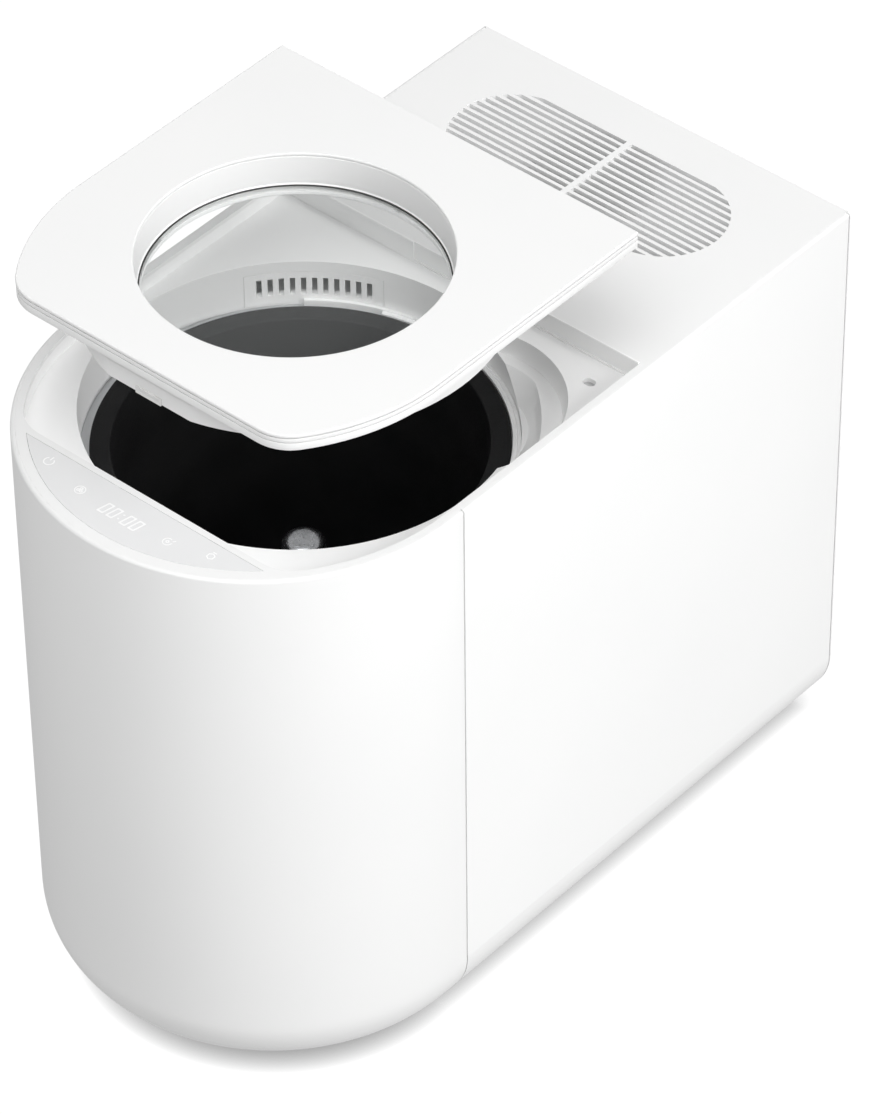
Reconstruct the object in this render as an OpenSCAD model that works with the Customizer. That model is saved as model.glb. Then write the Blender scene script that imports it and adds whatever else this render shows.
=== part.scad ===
// Electric food waste composter: a D-shaped bin with a lift-off lid over a stirred, heated bucket,
// and a rear bay with the filter, the exhaust fan and the power supply. Front is -Y, up is +Z.

/* [Body] */
// Width of the body
body_w = 300; // [290:1:320]
// Length of the body, front to back
body_l = 530; // [510:5:570]
// Height of the shell above its feet
body_h = 422; // [410:2:450]
// Height of the feet
foot_h = 6; // [4:0.5:10]
// Thickness of the outer shells
wall = 3; // [2.5:0.1:3.5]
// Radius of the fillet along the bottom
skirt_r = 50; // [40:1:60]
// Radius of the top outer edge
edge_r = 2; // [1:0.1:2.4]
// Distance of the side seam behind the centre of the round nose
seam_off = 12; // [5:1:20]
// Width of the seam between two shells
seam_gap = 0.6; // [0.3:0.1:1]
// How far the rear panel stands in from the back edge
rear_inset = 2.2; // [2.1:0.1:4]

/* [Lid recess] */
// Width of the rim beside the lid recess
rim_w = 7.5; // [7:0.1:9]
// Depth of the band in front of the recess, which holds the touch panel
band_l = 51.5; // [49:0.5:54]
// Depth of the recess's shelf behind the round opening
shelf_l = 13; // [12.5:0.5:20]
// Depth of the recess
recess_h = 12; // [11:0.5:14]
// Corner radius at the front of the recess
recess_r = 30; // [20:1:36]
// Thickness of the top deck and of the tray under it
deck_t = 3; // [2.5:0.1:3.4]
// Width left between the tray's round opening and the side of the body
open_side = 16; // [15:0.5:18]
// Distance of the opening's centre behind the centre of the nose
open_off = 34; // [33:0.5:36]
// Depth of the opening's collar below the deck of the tray
collar_h = 34; // [32:1:40]

/* [Finger scoop] */
// Radius of the finger scoop
scoop_r = 69; // [60:1:70]
// Width left between the scoop and the side of the body
scoop_side = 11.9; // [11:0.1:14]
// Direction of the scoop, from +X towards +Y
scoop_a = 42; // [36:1:46]
// Depth of the scoop's upper step
scoop_h = 13; // [9:1:15]
// Depth of the ledge inside the scoop
ledge_h = 25; // [21:1:27]
// Slope of the scoop's wall, as what the radius loses on the way down
scoop_draft = 3.5; // [2:0.5:5]

/* [Touch panel] */
// Width of the deck left around the touch panel's arc
panel_rim = 9.5; // [8:0.5:11]
// Width of the deck left between the touch panel and the recess
panel_back = 4.5; // [3:0.5:6]
// Thickness of the touch panel
panel_t = 1.5; // [1.2:0.1:1.8]

/* [Vents] */
// Length of the rear grille
grille_l = 207; // [180:1:215]
// Width of the rear grille
grille_w = 85; // [74:1:92]
// Distance of the grille's centre from the back
grille_off = 76; // [70:1:84]
// Distance from one grille slot to the next
grille_pitch = 5.7; // [5:0.1:7]
// Width of a grille slot
slot_w = 3.2; // [2.5:0.1:3.6]
// Width of the rib across the middle of the grille
grille_rib = 4; // [3:0.5:6]
// Direction of the vent in the collar, from +X towards +Y
vent_a = 128; // [122:1:132]
// Width of the vent in the collar
vent_w = 87; // [80:1:90]
// Height of the vent in the collar
vent_h = 25; // [22:1:26]
// Number of slots in the vent
vent_n = 11; // [8:1:12]
// Width of a vent slot
vent_slot_w = 3.4; // [3:0.1:4]
// Height of a vent slot
vent_slot_h = 13; // [10:1:15]

/* [Lid] */
// How far the lid is lifted off its seat in this pose
lid_up = 103; // [60:1:120]
// Gap around the closed lid
lid_gap = 0.5; // [0.4:0.1:0.7]
// Thickness of the lid's top plate
lid_plate_t = 2.5; // [2:0.1:3]
// Width of the shadow line below the plate
lid_line = 0.8; // [0.5:0.1:1]
// How far the lid's tray stands in from its plate
lid_step = 2; // [1:0.1:2.5]
// Radius of the window in the plate
window_r = 95.5; // [85:0.5:98]
// What the window's radius loses down to the glass
window_draft = 2; // [1:0.5:4]
// Depth of the glass below the plate's top
window_h = 23.5; // [20:0.5:24]
// Thickness of the glass
glass_t = 3; // [2.5:0.5:4]
// Depth of the plug below the plate's top
plug_h = 30; // [29:0.5:32]
// Gap between the plug and the collar
plug_gap = 2.5; // [2:0.1:4]
// Thickness of the plug's wall
plug_t = 3; // [2.5:0.1:3.5]

/* [Bucket and chamber] */
// Gap between the bucket's flange and the round opening
flange_gap = 6; // [4:0.5:8]
// Width of the bucket's flange
brim_w = 13; // [12:0.5:18]
// Height of the bucket's floor above the bottom of the shell, with the drive in between
floor_h = 111; // [110:1:130]
// Wall of the bucket
bucket_t = 3; // [2.5:0.1:3.5]
// What the bucket's radius loses down to its floor
bucket_draft = 5; // [3:0.5:8]
// Thickness of the bucket's flange
flange_t = 4; // [3:0.5:5]
// Gap between the bucket and its chamber
bucket_gap = 3.5; // [3:0.1:4]

/* [Stirrer and drive] */
// Radius of the drive shaft
shaft_r = 8; // [7:0.5:9]
// Radial clearance of a shaft in its bush
run_gap = 0.05; // [0.04:0.01:0.08]
// Gap between the stirrer's sweeping arms and the bucket's wall
sweep_gap = 10; // [8:0.5:20]
// Gear module
gear_mod = 2.5; // [2.4:0.1:2.6]
// Teeth of the drive gear
gear_n = 64; // [60:1:66]
// Teeth of the motor pinion
pinion_n = 14; // [13:1:16]
// Width of the gears
gear_t = 16; // [12:1:18]
// Backlash between the gears
backlash = 0.5; // [0.4:0.1:0.7]
// Radius of the motor
motor_r = 30; // [26:1:32]

/* [Fan and filter] */
// Width of the square fan
fan_w = 92; // [80:1:96]
// Thickness of the fan
fan_t = 25; // [20:1:26]
// Number of fan blades
blade_n = 7; // [5:1:9]
// Width of the filter housing
filter_w = 210; // [180:1:220]
// Length of the filter housing
filter_l = 98; // [97:1:106]
// Height of the filter housing
filter_h = 120; // [100:1:140]

/* [Hidden] */

// Colours
white = [0.95, 0.95, 0.94];
soft_white = [0.9, 0.9, 0.89];
panel_grey = [0.86, 0.87, 0.87];
black = [0.1, 0.1, 0.11];
rubber_grey = [0.22, 0.22, 0.23];
steel = [0.72, 0.73, 0.75];
brass = [0.78, 0.62, 0.3];
board_green = [0.1, 0.36, 0.22];

// Clearance between pieces that only meet, and an overshoot for cuts
fit = 0.2;
eps = 1;
// Main places
half_w = body_w / 2;
back_y = body_l / 2;
rear_y = back_y - rear_inset;
rear_in = rear_y - wall;
nose_y = half_w - back_y;
seam_y = nose_y + seam_off;
top_z = foot_h + body_h;
deck_under = top_z - deck_t;
tray_z = top_z - recess_h;
recess_front = band_l - back_y;
bucket_y = nose_y + open_off;
open_r = half_w - open_side;
recess_back = bucket_y + open_r + shelf_l;
rim_in = half_w - rim_w;
tray_wall = 2.5;
rail_t = 2;
rail_step_x = -37;
rail_step = 0.8;
rail_h = 1.5;
groove_w = 5;
groove_h = 1.5;
peg_y = recess_back - 20;
peg_l = 8.6;
peg_w = 6.4;
peg_h = 4;
peg_gap = 0.8;
sensor_w = 18;
sensor_l = 14;
sensor_h = 9;
sensor_gap = 0.7;
sensor_well = 1.6;
// Bottom flange of the shells and the pan that laps over it
flange_w = 8;
pan_edge = half_w - skirt_r - flange_w;
pan_lap_t = 2;
pan_top = foot_h + wall + pan_lap_t;
// Seam tongue behind the side panels
tongue_t = 2;
tongue_l = 8;
tongue_root = 6;
tongue_z0 = foot_h + skirt_r + 6;
tongue_z1 = tray_z - 10;
// Collar, chamber and bucket
collar_z = tray_z - collar_h;
chamber_t = 3;
flange_r = open_r - flange_gap;
bucket_r = flange_r - brim_w;
chamber_r = bucket_r + bucket_t + bucket_gap;
chamber_lip_r = open_r + deck_t + 2;
rim_z = collar_z + flange_t;
bucket_floor = foot_h + floor_h;
bucket_h = rim_z - bucket_floor;
bucket_base_r = bucket_r - bucket_draft;
bucket_round = 14;
guide_gap = 0.6;
guide_a = 109;
guide_span = 85;
guide_tail = 22;
guide_lip = 2.3;
guide_h = flange_t;
guide_rise = 1;
chamber_floor = bucket_floor - bucket_t - 3;
chamber_base = chamber_floor - chamber_t;
// Scoop
scoop_x = half_w - scoop_side - scoop_r;
scoop_y = bucket_y + scoop_x * tan(scoop_a);
scoop_low_r = scoop_r - scoop_draft;
scoop_z = tray_z - scoop_h;
ledge_z = tray_z - ledge_h;
ledge_r = open_r + 7;
ledge_top_r = open_r + 12;
ledge_reach = scoop_r - 11;
ledge_low_r = ledge_reach - 13;
scoop_t = 2.5;
// The lid's peg stands beside the scoop, clear of it by its sensor's width
peg_reach = scoop_r + scoop_t + sensor_gap;
peg_x = scoop_x + sqrt(pow(peg_reach, 2) - pow(peg_y - sensor_l / 2 - scoop_y, 2)) + sensor_w / 2;
// Collar vent
vent_z = collar_z + 1;
vent_span = 2 * asin(vent_w / 2 / open_r);
vent_pitch = vent_w * 0.87 / vent_n;
vent_flange = 1.6;
vent_lip = 1;
duct_r = open_r + deck_t + vent_flange;
// Grille
grille_y = back_y - grille_off;
grille_end = grille_w / 2;
grille_n = floor((grille_w - slot_w) / grille_pitch) + 1;
// Touch panel
panel_r = half_w - panel_rim;
panel_y = recess_front - panel_back;
panel_gap = 0.2;
board_t = 1.6;
board_drop = 6;
digit_w = 40;
digit_l = 14;
digit_y = 19;
touch_x = [-67, -35, 35, 63];
touch_r = 4;
function touch_y(x) = panel_y - 19 + pow(x / 24, 2);
post_r = 2;
post_x = [-48, -24, 24, 48];
post_y = 13;
// Lid, drawn at its seat and lifted by lid_up
lid_inset = lid_gap;
lid_under = top_z - lid_plate_t;
lid_tray_z = tray_z + 0.4;
lid_tray_t = 2;
plug_r = open_r - plug_gap;
plug_z = top_z - plug_h;
plug_flat = recess_front + 5;
glass_z = top_z - window_h - glass_t;
gasket_t = 1;
bezel_t = 2;
bezel_low_r = window_r - window_draft;
glass_r = bezel_low_r + bezel_t;
seal_w = 2;
seal_h = 5;
tab_w = 20;
tab_h = 5;
tab_t = 1.2;
tab_y = max(plug_flat, bucket_y - sqrt(pow(plug_r, 2) - pow(tab_w / 2, 2)));
// Drive
gear_r = gear_mod * gear_n / 2;
pinion_r = gear_mod * pinion_n / 2;
motor_y = bucket_y + gear_r + pinion_r;
bearing_h = 9;
bearing_r = 16;
bearing_flange = 30;
gear_z = chamber_base - bearing_h - 2 - gear_t;
bracket_t = 4;
bracket_end = 7.5;
bracket_z = gear_z - 14;
shaft_z0 = bracket_z + bracket_t + 1;
hub_r = 14;
hub_z0 = bucket_floor + 22;
hub_z1 = bucket_floor + 190;
hub_top = 6;
sweep_r = bucket_base_r - sweep_gap;
arm_z = 60;
arm_pitch = 40;
arm_short = 14;
arm_step = 2;
arm_r = 7;
mix_a = [90, 215, 330];
blade_l = 34;
blade_w = 28;
blade_tip_w = 40;
paddle_w = 26;
paddle_tip_w = 30;
paddle_x = 36;
shaft_z1 = hub_z0 + 55;
boss_r = 20;
boss_h = 20;
pin_r = 5;
gear_web = 5;
gear_hub_r = 20;
leg_r = 7;
leg_off = chamber_r - 14.5;
bracket_w = 96;
bracket_front = 40;
bracket_inset = 9;
pillar_x = 40;
pillar_r = 7;
bush_r = 10;
motor_lift = 3;
motor_z0 = pan_top + motor_lift;
motor_bore = 18;
boss_l = 16;
rib_x = pan_edge - 2;
rib_h = 5;
band_lift = 45;
band_h = 90;
band_t = 1.5;
lug_z = [15, 60];
lug_w = 18;
lug_l = 11;
lug_h = 15;
lug_slot = 3;
// Rear bay
partition_y = recess_back;
partition_t = 2.5;
duct_t = 2;
duct_h = vent_h + 1;
duct_y0 = partition_y + partition_t + 3;
drop_w = 45;
port_h = 24;
filter_y0 = grille_y - filter_l / 2;
duct_back = (duct_y0 + filter_y0) / 2;
collar_t = 2;
fan_z1 = deck_under - 8;
fan_z0 = fan_z1 - fan_t;
fan_r = fan_w / 2 - 2;
fan_hub = 18;
fan_pin = 2;
stator_r = 15;
filter_z1 = fan_z0;
filter_z0 = filter_z1 - filter_h;
box_t = 2;
cartridge_lift = 36;
cartridge_h = 54;
drop_z = filter_z0 + box_t;
stand_x = pan_edge + 4;
stand_w = 50;
stand_t = 2;
// Rear panel furniture
inlet_x = half_w - 55;
inlet_z = 62;
inlet_w = 28;
inlet_h = 20;
inlet_l = 24;
screw_r = 2;
screw_head_r = 4;
screw_inset = 12;
louvre_n = 9;
louvre_w = 70;
louvre_pitch = 8;
louvre_z = 110;
foot_r = 14;
foot_x = pan_edge - 32;
foot_y0 = nose_y - 45;
foot_y1 = back_y - 45;
board_w = 130;
board_l = 90;
board_y = (partition_y + partition_t + rear_in) / 2 - 14;
board_z = pan_top + 8;
capacitor_x = [70, 92];

// Filled half of the body's section, drawn in by inset, from the centre line out
module half_section(inset) {
    translate([0, inset]) square([half_w - skirt_r, body_h]);
    translate([0, skirt_r]) square([half_w - inset, body_h]);
    translate([half_w - skirt_r, skirt_r]) circle(skirt_r - inset, $fn = 96);
}

// The same, cut off at the top with its edge rounded
module half_outer() {
    intersection() {
        half_section(0);
        union() {
            square([half_w, body_h - edge_r]);
            square([half_w - edge_r, body_h]);
            translate([half_w - edge_r, body_h - edge_r]) circle(edge_r, $fn = 48);
        }
    }
}

// Section of one outer shell, with its bottom flange
module shell_section() {
    difference() {
        half_outer();
        half_section(wall);
        translate([-eps, -eps]) square([pan_edge + eps, body_h]);
    }
}

module along_y(y0, y1) {
    translate([0, y1, foot_h]) rotate([90, 0, 0]) linear_extrude(y1 - y0) children();
}

// Plan of the body, drawn in by inset, up to a chosen back line
module body_plan(inset, back) {
    translate([0, nose_y]) circle(half_w - inset, $fn = 180);
    translate([inset - half_w, nose_y]) square([body_w - 2 * inset, back - nose_y]);
}

// Plan of the lid recess, drawn in by inset: round nose, flat front and two rounded corners
module recess_plan(inset, back) {
    r = rim_in - inset;
    corner_r = recess_r - inset;
    corner_y = recess_front + recess_r;
    corner_x = sqrt(pow(rim_in - recess_r, 2) - pow(corner_y - nose_y, 2));
    ray = [corner_x, corner_y - nose_y] * 3;
    intersection() {
        union() {
            translate([0, nose_y]) circle(r, $fn = 180);
            translate([-r, nose_y]) square([2 * r, back - nose_y]);
        }
        union() {
            translate([-corner_x, recess_front + inset]) square([2 * corner_x, body_l]);
            for (side = [-1, 1]) translate([side * corner_x, corner_y]) circle(corner_r, $fn = 96);
            polygon([[0, nose_y], [ray[0], nose_y + ray[1]], [body_w, nose_y + ray[1]], [body_w, body_l],
                [-body_w, body_l], [-body_w, nose_y + ray[1]], [-ray[0], nose_y + ray[1]]]);
        }
    }
}

module at_bucket(z) {
    translate([0, bucket_y, z]) children();
}

module lifted() {
    translate([0, 0, lid_up]) children();
}

// Everything behind the flat front of the recess, for cutting round pieces flat there
module behind(y) {
    translate([-body_w, y, 0]) cube([2 * body_w, 2 * body_l, 2 * top_z]);
}

module front_shell() {
    color(white) {
        translate([0, nose_y, foot_h]) rotate([0, 0, 180])
            rotate_extrude(angle = 180, $fn = 180) shell_section();
        for (side = [0, 1]) mirror([side, 0, 0]) along_y(nose_y, seam_y - seam_gap / 2) shell_section();
        for (side = [0, 1]) mirror([side, 0, 0]) seam_tongue();
    }
}

// Tongue on the front shell that laps behind a side panel
module seam_tongue() {
    x0 = half_w - wall - tongue_t - fit;
    h = tongue_z1 - tongue_z0;
    translate([x0, seam_y - tongue_root, tongue_z0]) cube([tongue_t, tongue_root + tongue_l, h]);
    translate([x0, seam_y - tongue_root, tongue_z0])
        cube([tongue_t + 2 * fit, tongue_root - seam_gap, h]);
}

module side_panel() {
    along_y(seam_y + seam_gap / 2, back_y) shell_section();
    // Bosses that take the rear panel's screws
    for (i = [0 : 2]) translate([half_w - screw_inset, rear_in - fit, rear_screw_z(i)]) rotate([90, 0, 0])
        difference() {
            translate([-screw_head_r, -screw_head_r, 0])
                cube([screw_inset - wall + screw_head_r + fit, 2 * screw_head_r, boss_l]);
            translate([0, 0, -eps]) cylinder(r = screw_r, h = boss_l, $fn = 32);
        }
}

function rear_screw_z(i) = foot_h + skirt_r + 10 + i * (body_h - skirt_r - 50) / 2;

module left_side_panel() {
    color(white) mirror([1, 0, 0]) side_panel();
}

module right_side_panel() {
    color(white) side_panel();
}

// Plan of the pan between the shells' bottom flanges
module pan_plan(edge, back) {
    translate([0, nose_y]) circle(edge, $fn = 120);
    translate([-edge, nose_y]) square([2 * edge, back - nose_y]);
}

module base_pan() {
    color(soft_white) difference() {
        union() {
            translate([0, 0, foot_h]) linear_extrude(wall) pan_plan(pan_edge - fit, rear_in - fit);
            translate([0, 0, foot_h + wall])
                linear_extrude(pan_lap_t) pan_plan(pan_edge + flange_w - fit, rear_in - fit);
            pan_ribs();
        }
        for (x = [-foot_x, foot_x], y = [foot_y0, foot_y1])
            translate([x, y, foot_h - eps]) cylinder(r = screw_r, h = pan_top, $fn = 32);
        // Air slots under the power supply
        for (i = [0 : louvre_n - 1])
            translate([-louvre_w / 2, board_y + (i - (louvre_n - 1) / 2) * louvre_pitch - slot_w / 2, 0])
                cube([louvre_w, slot_w, pan_top + eps]);
    }
}

module pan_ribs() {
    // Stiffening ribs along both edges
    for (x = [-rib_x, rib_x])
        translate([x - 1, nose_y, pan_top - fit]) cube([2, partition_y - nose_y - 5, rib_h + fit]);
    for (x = [-1, 1], y = [-1, 1])
        translate([x * (board_w / 2 - 8), board_y + y * (board_l / 2 - 8), pan_top - fit])
            cylinder(r = 4, h = board_z - pan_top + fit, $fn = 32);
}

module rear_panel() {
    color(white) difference() {
        along_y(rear_in, rear_y) intersection() {
            union() {
                half_section(wall + fit);
                mirror([1, 0]) half_section(wall + fit);
                translate([fit - pan_edge, 0]) square([2 * (pan_edge - fit), skirt_r]);
            }
            translate([-half_w, 0]) square([body_w, body_h - deck_t - fit]);
        }
        translate([inlet_x, rear_y, inlet_z]) cube([inlet_w, 4 * wall, inlet_h], center = true);
        for (i = [0 : louvre_n - 1])
            translate([-louvre_w / 2, rear_y - 2 * wall, louvre_z + i * louvre_pitch])
                cube([louvre_w, 3 * wall, slot_w]);
        rear_screw_places()
            translate([0, 0, -wall - eps]) cylinder(r = screw_r + 0.3, h = 3 * wall, $fn = 32);
    }
}

module rear_screw_places() {
    for (side = [-1, 1], i = [0 : 2])
        translate([side * (half_w - screw_inset), rear_y, rear_screw_z(i)]) rotate([-90, 0, 0]) children();
}

module rear_screws() {
    color(steel) rear_screw_places() {
        difference() {
            cylinder(r1 = screw_head_r, r2 = screw_head_r - 1, h = 2, $fn = 32);
            for (a = [0, 90]) rotate([0, 0, a]) translate([-2, -0.5, 1]) cube([4, 1, 2]);
        }
        translate([0, 0, -12]) cylinder(r = screw_r - 0.1, h = 12.2, $fn = 32);
    }
}

// Rear grille: slots along X cut off by a stadium, with a rib left across the middle
module grille_plan() {
    intersection() {
        union() {
            translate([-grille_l / 2 + grille_end, grille_y - grille_end])
                square([grille_l - grille_w, grille_w]);
            for (side = [-1, 1])
                translate([side * (grille_l / 2 - grille_end), grille_y]) circle(grille_end, $fn = 96);
        }
        for (i = [0 : grille_n - 1], side = [0, 1]) mirror([side, 0])
            translate([grille_rib / 2, grille_y + (i - (grille_n - 1) / 2) * grille_pitch - slot_w / 2])
                square([grille_l, slot_w]);
    }
}

module panel_plan(inset) {
    intersection() {
        translate([0, nose_y]) circle(panel_r - inset, $fn = 180);
        translate([-body_w, -body_l]) square([2 * body_w, body_l + panel_y - inset]);
    }
}

module top_deck() {
    color(white) difference() {
        union() {
            translate([0, 0, deck_under]) linear_extrude(deck_t) difference() {
                body_plan(wall + fit, back_y);
                recess_plan(0, recess_back + rail_t + fit);
                grille_plan();
            }
            translate([0, 0, deck_under - 8]) linear_extrude(8 + fit) difference() {
                body_plan(wall + fit, rear_in - fit);
                body_plan(wall + fit + 1, rear_in - fit - 1);
            }
        }
        translate([0, 0, top_z - panel_t]) linear_extrude(deck_t) panel_plan(0);
        // Window for the digits and holes for the touch springs
        translate([-digit_w / 2, panel_y - digit_y - digit_l / 2, deck_under - eps])
            cube([digit_w, digit_l, deck_t + eps]);
        for (x = touch_x)
            translate([x, touch_y(x), deck_under - eps]) cylinder(r = touch_r, h = deck_t + eps, $fn = 32);
    }
}

module touch_panel() {
    color(panel_grey) translate([0, 0, top_z - panel_t]) linear_extrude(panel_t) panel_plan(panel_gap);
}

module display_board() {
    z = deck_under - board_drop;
    color(board_green) {
        translate([0, 0, z]) linear_extrude(board_t) panel_plan(10);
        for (x = post_x) translate([x, panel_y - post_y, z]) cylinder(r = post_r, h = board_drop, $fn = 32);
    }
}

module recess_tray() {
    color(white) difference() {
        union() {
            translate([0, 0, tray_z - deck_t]) linear_extrude(deck_t)
                recess_plan(-tray_wall, recess_back + tray_wall);
            translate([0, 0, tray_z - fit]) linear_extrude(deck_under - tray_z + fit) difference() {
                recess_plan(-tray_wall, recess_back);
                recess_plan(0, recess_back + eps);
            }
            intersection() {
                at_bucket(collar_z) cylinder(r = open_r + deck_t, h = collar_h, $fn = 180);
                behind(recess_front - tray_wall);
            }
            translate([scoop_x, scoop_y, scoop_z - scoop_t])
                cylinder(r = scoop_r + scoop_t, h = scoop_h + scoop_t, $fn = 120);
            intersection() {
                at_bucket(ledge_z - scoop_t) cylinder(r = ledge_top_r + scoop_t, h = ledge_h, $fn = 180);
                ledge_cone(scoop_t);
            }
        }
        intersection() {
            at_bucket(0) cylinder(r = open_r, h = top_z + eps, $fn = 180);
            behind(recess_front);
        }
        translate([scoop_x, scoop_y, scoop_z])
            cylinder(r1 = scoop_low_r, r2 = scoop_r + scoop_draft / scoop_h, h = scoop_h + eps, $fn = 120);
        intersection() {
            at_bucket(ledge_z)
                cylinder(r1 = ledge_r, r2 = ledge_top_r, h = ledge_h - scoop_h + fit, $fn = 180);
            ledge_cone(0);
        }
        translate([-rim_in, recess_back - groove_w, tray_z - groove_h])
            cube([2 * rim_in, groove_w, recess_h]);
        peg_hole();
        at_bucket(vent_z) rotate([0, 0, vent_a]) translate([open_r - 10, -vent_w / 2, 0])
            cube([20, vent_w, vent_h]);
    }
}

// Sloped side of the ledge about the scoop's own centre, grown by t
module ledge_cone(t) {
    translate([scoop_x, scoop_y, ledge_z - t])
        cylinder(r1 = ledge_low_r + t, r2 = ledge_reach + t, h = ledge_h - scoop_h + fit, $fn = 120);
}

module peg_hole() {
    translate([peg_x, peg_y, tray_z - 2 * deck_t]) linear_extrude(3 * deck_t) peg_plan(peg_l, peg_w);
}

module peg_plan(l, w) {
    square([l - w, w], center = true);
    for (side = [-1, 1]) translate([side * (l - w) / 2, 0]) circle(w / 2, $fn = 48);
}

// Trim strip along the back wall of the recess, thinner to the right of its step
module rear_rail() {
    z0 = tray_z;
    h = top_z + rail_h - z0;
    color(white) {
        rail_bar(-rim_in + fit, rail_step_x, recess_back, z0, h);
        rail_bar(rail_step_x, rim_in - fit, recess_back + rail_step, z0, h);
    }
}

module rail_bar(x0, x1, y0, z0, h) {
    t = recess_back + rail_t - y0;
    translate([x0, y0, z0]) cube([x1 - x0, t, h - t / 2]);
    translate([x0, y0 + t / 2, z0 + h - t / 2]) rotate([0, 90, 0]) cylinder(r = t / 2, h = x1 - x0, $fn = 32);
}

// Ring sector centred on the vent, from one radius to another
module vent_sector(r0, r1, z0, h, w) {
    at_bucket(z0) rotate([0, 0, vent_a]) intersection() {
        difference() {
            cylinder(r = r1, h = h, $fn = 180);
            translate([0, 0, -eps]) cylinder(r = r0, h = h + 2 * eps, $fn = 180);
        }
        translate([open_r - 20, -w / 2, -eps]) cube([50, w, h + 2 * eps]);
    }
}

module vent_insert() {
    slot_z = vent_z + vent_h * 0.28;
    color(soft_white) difference() {
        union() {
            vent_sector(open_r, open_r + deck_t + fit, vent_z + fit, vent_h - 2 * fit, vent_w - 2 * fit);
            vent_sector(open_r + deck_t, duct_r, vent_z - vent_lip + fit, vent_h + 2 * vent_lip,
                vent_w + 4 * vent_lip);
        }
        for (i = [0 : vent_n - 1])
            at_bucket(slot_z) rotate([0, 0, vent_a])
                translate([open_r - 20, (i - (vent_n - 1) / 2) * vent_pitch - vent_slot_w / 2, 0])
                    cube([50, vent_slot_w, vent_slot_h]);
    }
}

module lid_plate() {
    color(white) lifted() translate([0, 0, lid_under]) linear_extrude(lid_plate_t) difference() {
        recess_plan(lid_inset, recess_back - lid_inset);
        translate([0, bucket_y]) circle(window_r, $fn = 180);
    }
}

// Plan of the plug and its seal: a circle with a flat front
module plug_plan(inset) {
    intersection() {
        translate([0, bucket_y]) circle(plug_r - inset, $fn = 180);
        translate([-body_w, plug_flat + inset]) square([2 * body_w, body_l]);
    }
}

module lid_tray() {
    inset = lid_inset + lid_step;
    well_r = window_r + bezel_t + fit;
    color(white) lifted() difference() {
        union() {
            translate([0, 0, lid_tray_z]) linear_extrude(lid_under - lid_line - lid_tray_z)
                recess_plan(inset, recess_back - inset);
            translate([0, 0, lid_tray_z]) linear_extrude(lid_under - lid_tray_z)
                recess_plan(inset + 1, recess_back - inset - 1);
            translate([0, 0, plug_z]) linear_extrude(lid_tray_z - plug_z + fit) plug_plan(0);
        }
        // Hollow between the tray and the plate, around the window's well
        translate([0, 0, lid_tray_z + lid_tray_t]) linear_extrude(recess_h) difference() {
            recess_plan(inset + 3, recess_back - inset - 3);
            translate([0, bucket_y]) circle(well_r + lid_tray_t, $fn = 180);
        }
        translate([0, 0, plug_z - eps]) linear_extrude(lid_tray_z - plug_z + eps - fit) difference() {
            plug_plan(plug_t);
            translate([0, bucket_y]) circle(glass_r + 3 * bezel_t, $fn = 180);
        }
        at_bucket(glass_z + glass_t + gasket_t) cylinder(r = well_r, h = recess_h * 4, $fn = 180);
        at_bucket(glass_z) cylinder(r = glass_r + fit, h = glass_t + gasket_t + eps, $fn = 180);
        at_bucket(plug_z - eps) cylinder(r = glass_r + bezel_t, h = glass_z - plug_z + eps, $fn = 180);
    }
}

module window_bezel() {
    z0 = glass_z + glass_t + gasket_t;
    h = lid_under - z0;
    color(white) lifted() at_bucket(z0) difference() {
        cylinder(r = window_r + bezel_t, h = h, $fn = 180);
        translate([0, 0, -0.01]) cylinder(r1 = bezel_low_r, r2 = window_r, h = h + 0.02, $fn = 180);
    }
}

module window_gasket() {
    color(black) lifted() at_bucket(glass_z + glass_t) difference() {
        cylinder(r = glass_r, h = gasket_t, $fn = 180);
        translate([0, 0, -eps]) cylinder(r = bezel_low_r - 0.6, h = gasket_t + 2 * eps, $fn = 180);
    }
}

module window_glass() {
    color([0.8, 0.88, 0.9, 0.35]) lifted() at_bucket(glass_z) cylinder(r = glass_r, h = glass_t, $fn = 180);
}

module glass_ring() {
    color(soft_white) lifted() at_bucket(plug_z) difference() {
        cylinder(r = glass_r + bezel_t - fit, h = glass_z - plug_z, $fn = 180);
        translate([0, 0, -eps]) cylinder(r = bezel_low_r - 1, h = plug_h, $fn = 180);
    }
}

module lid_seal() {
    z = lid_tray_z - seal_h;
    color(soft_white) lifted() translate([0, 0, z]) difference() {
        union() {
            linear_extrude(seal_h) plug_plan(-seal_w / 2);
            translate([0, 0, seal_h * 0.3]) linear_extrude(seal_h * 0.4) plug_plan(-seal_w);
        }
        translate([0, 0, -eps]) linear_extrude(seal_h + 2 * eps) plug_plan(-0.1);
    }
}

module latch_tab() {
    color(soft_white) lifted() translate([-tab_w / 2, tab_y - tab_t, plug_z]) difference() {
        cube([tab_w, tab_t, tab_h]);
        translate([1.5, -0.6, 1.5]) cube([tab_w - 3, 1, tab_h - 3]);
    }
}

module lid_peg() {
    color(rubber_grey) lifted() translate([peg_x, peg_y, lid_tray_z - peg_h])
        linear_extrude(peg_h) peg_plan(peg_l - 2 * peg_gap, peg_w - 2 * peg_gap);
}

module lid_sensor() {
    z = tray_z - deck_t - sensor_h;
    color(soft_white) translate([peg_x - sensor_w / 2, peg_y - sensor_l / 2, z]) difference() {
        cube([sensor_w, sensor_l, sensor_h]);
        translate([sensor_w / 2, sensor_l / 2, sensor_h - sensor_well])
            linear_extrude(sensor_h) peg_plan(peg_l, peg_w);
    }
}

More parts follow.
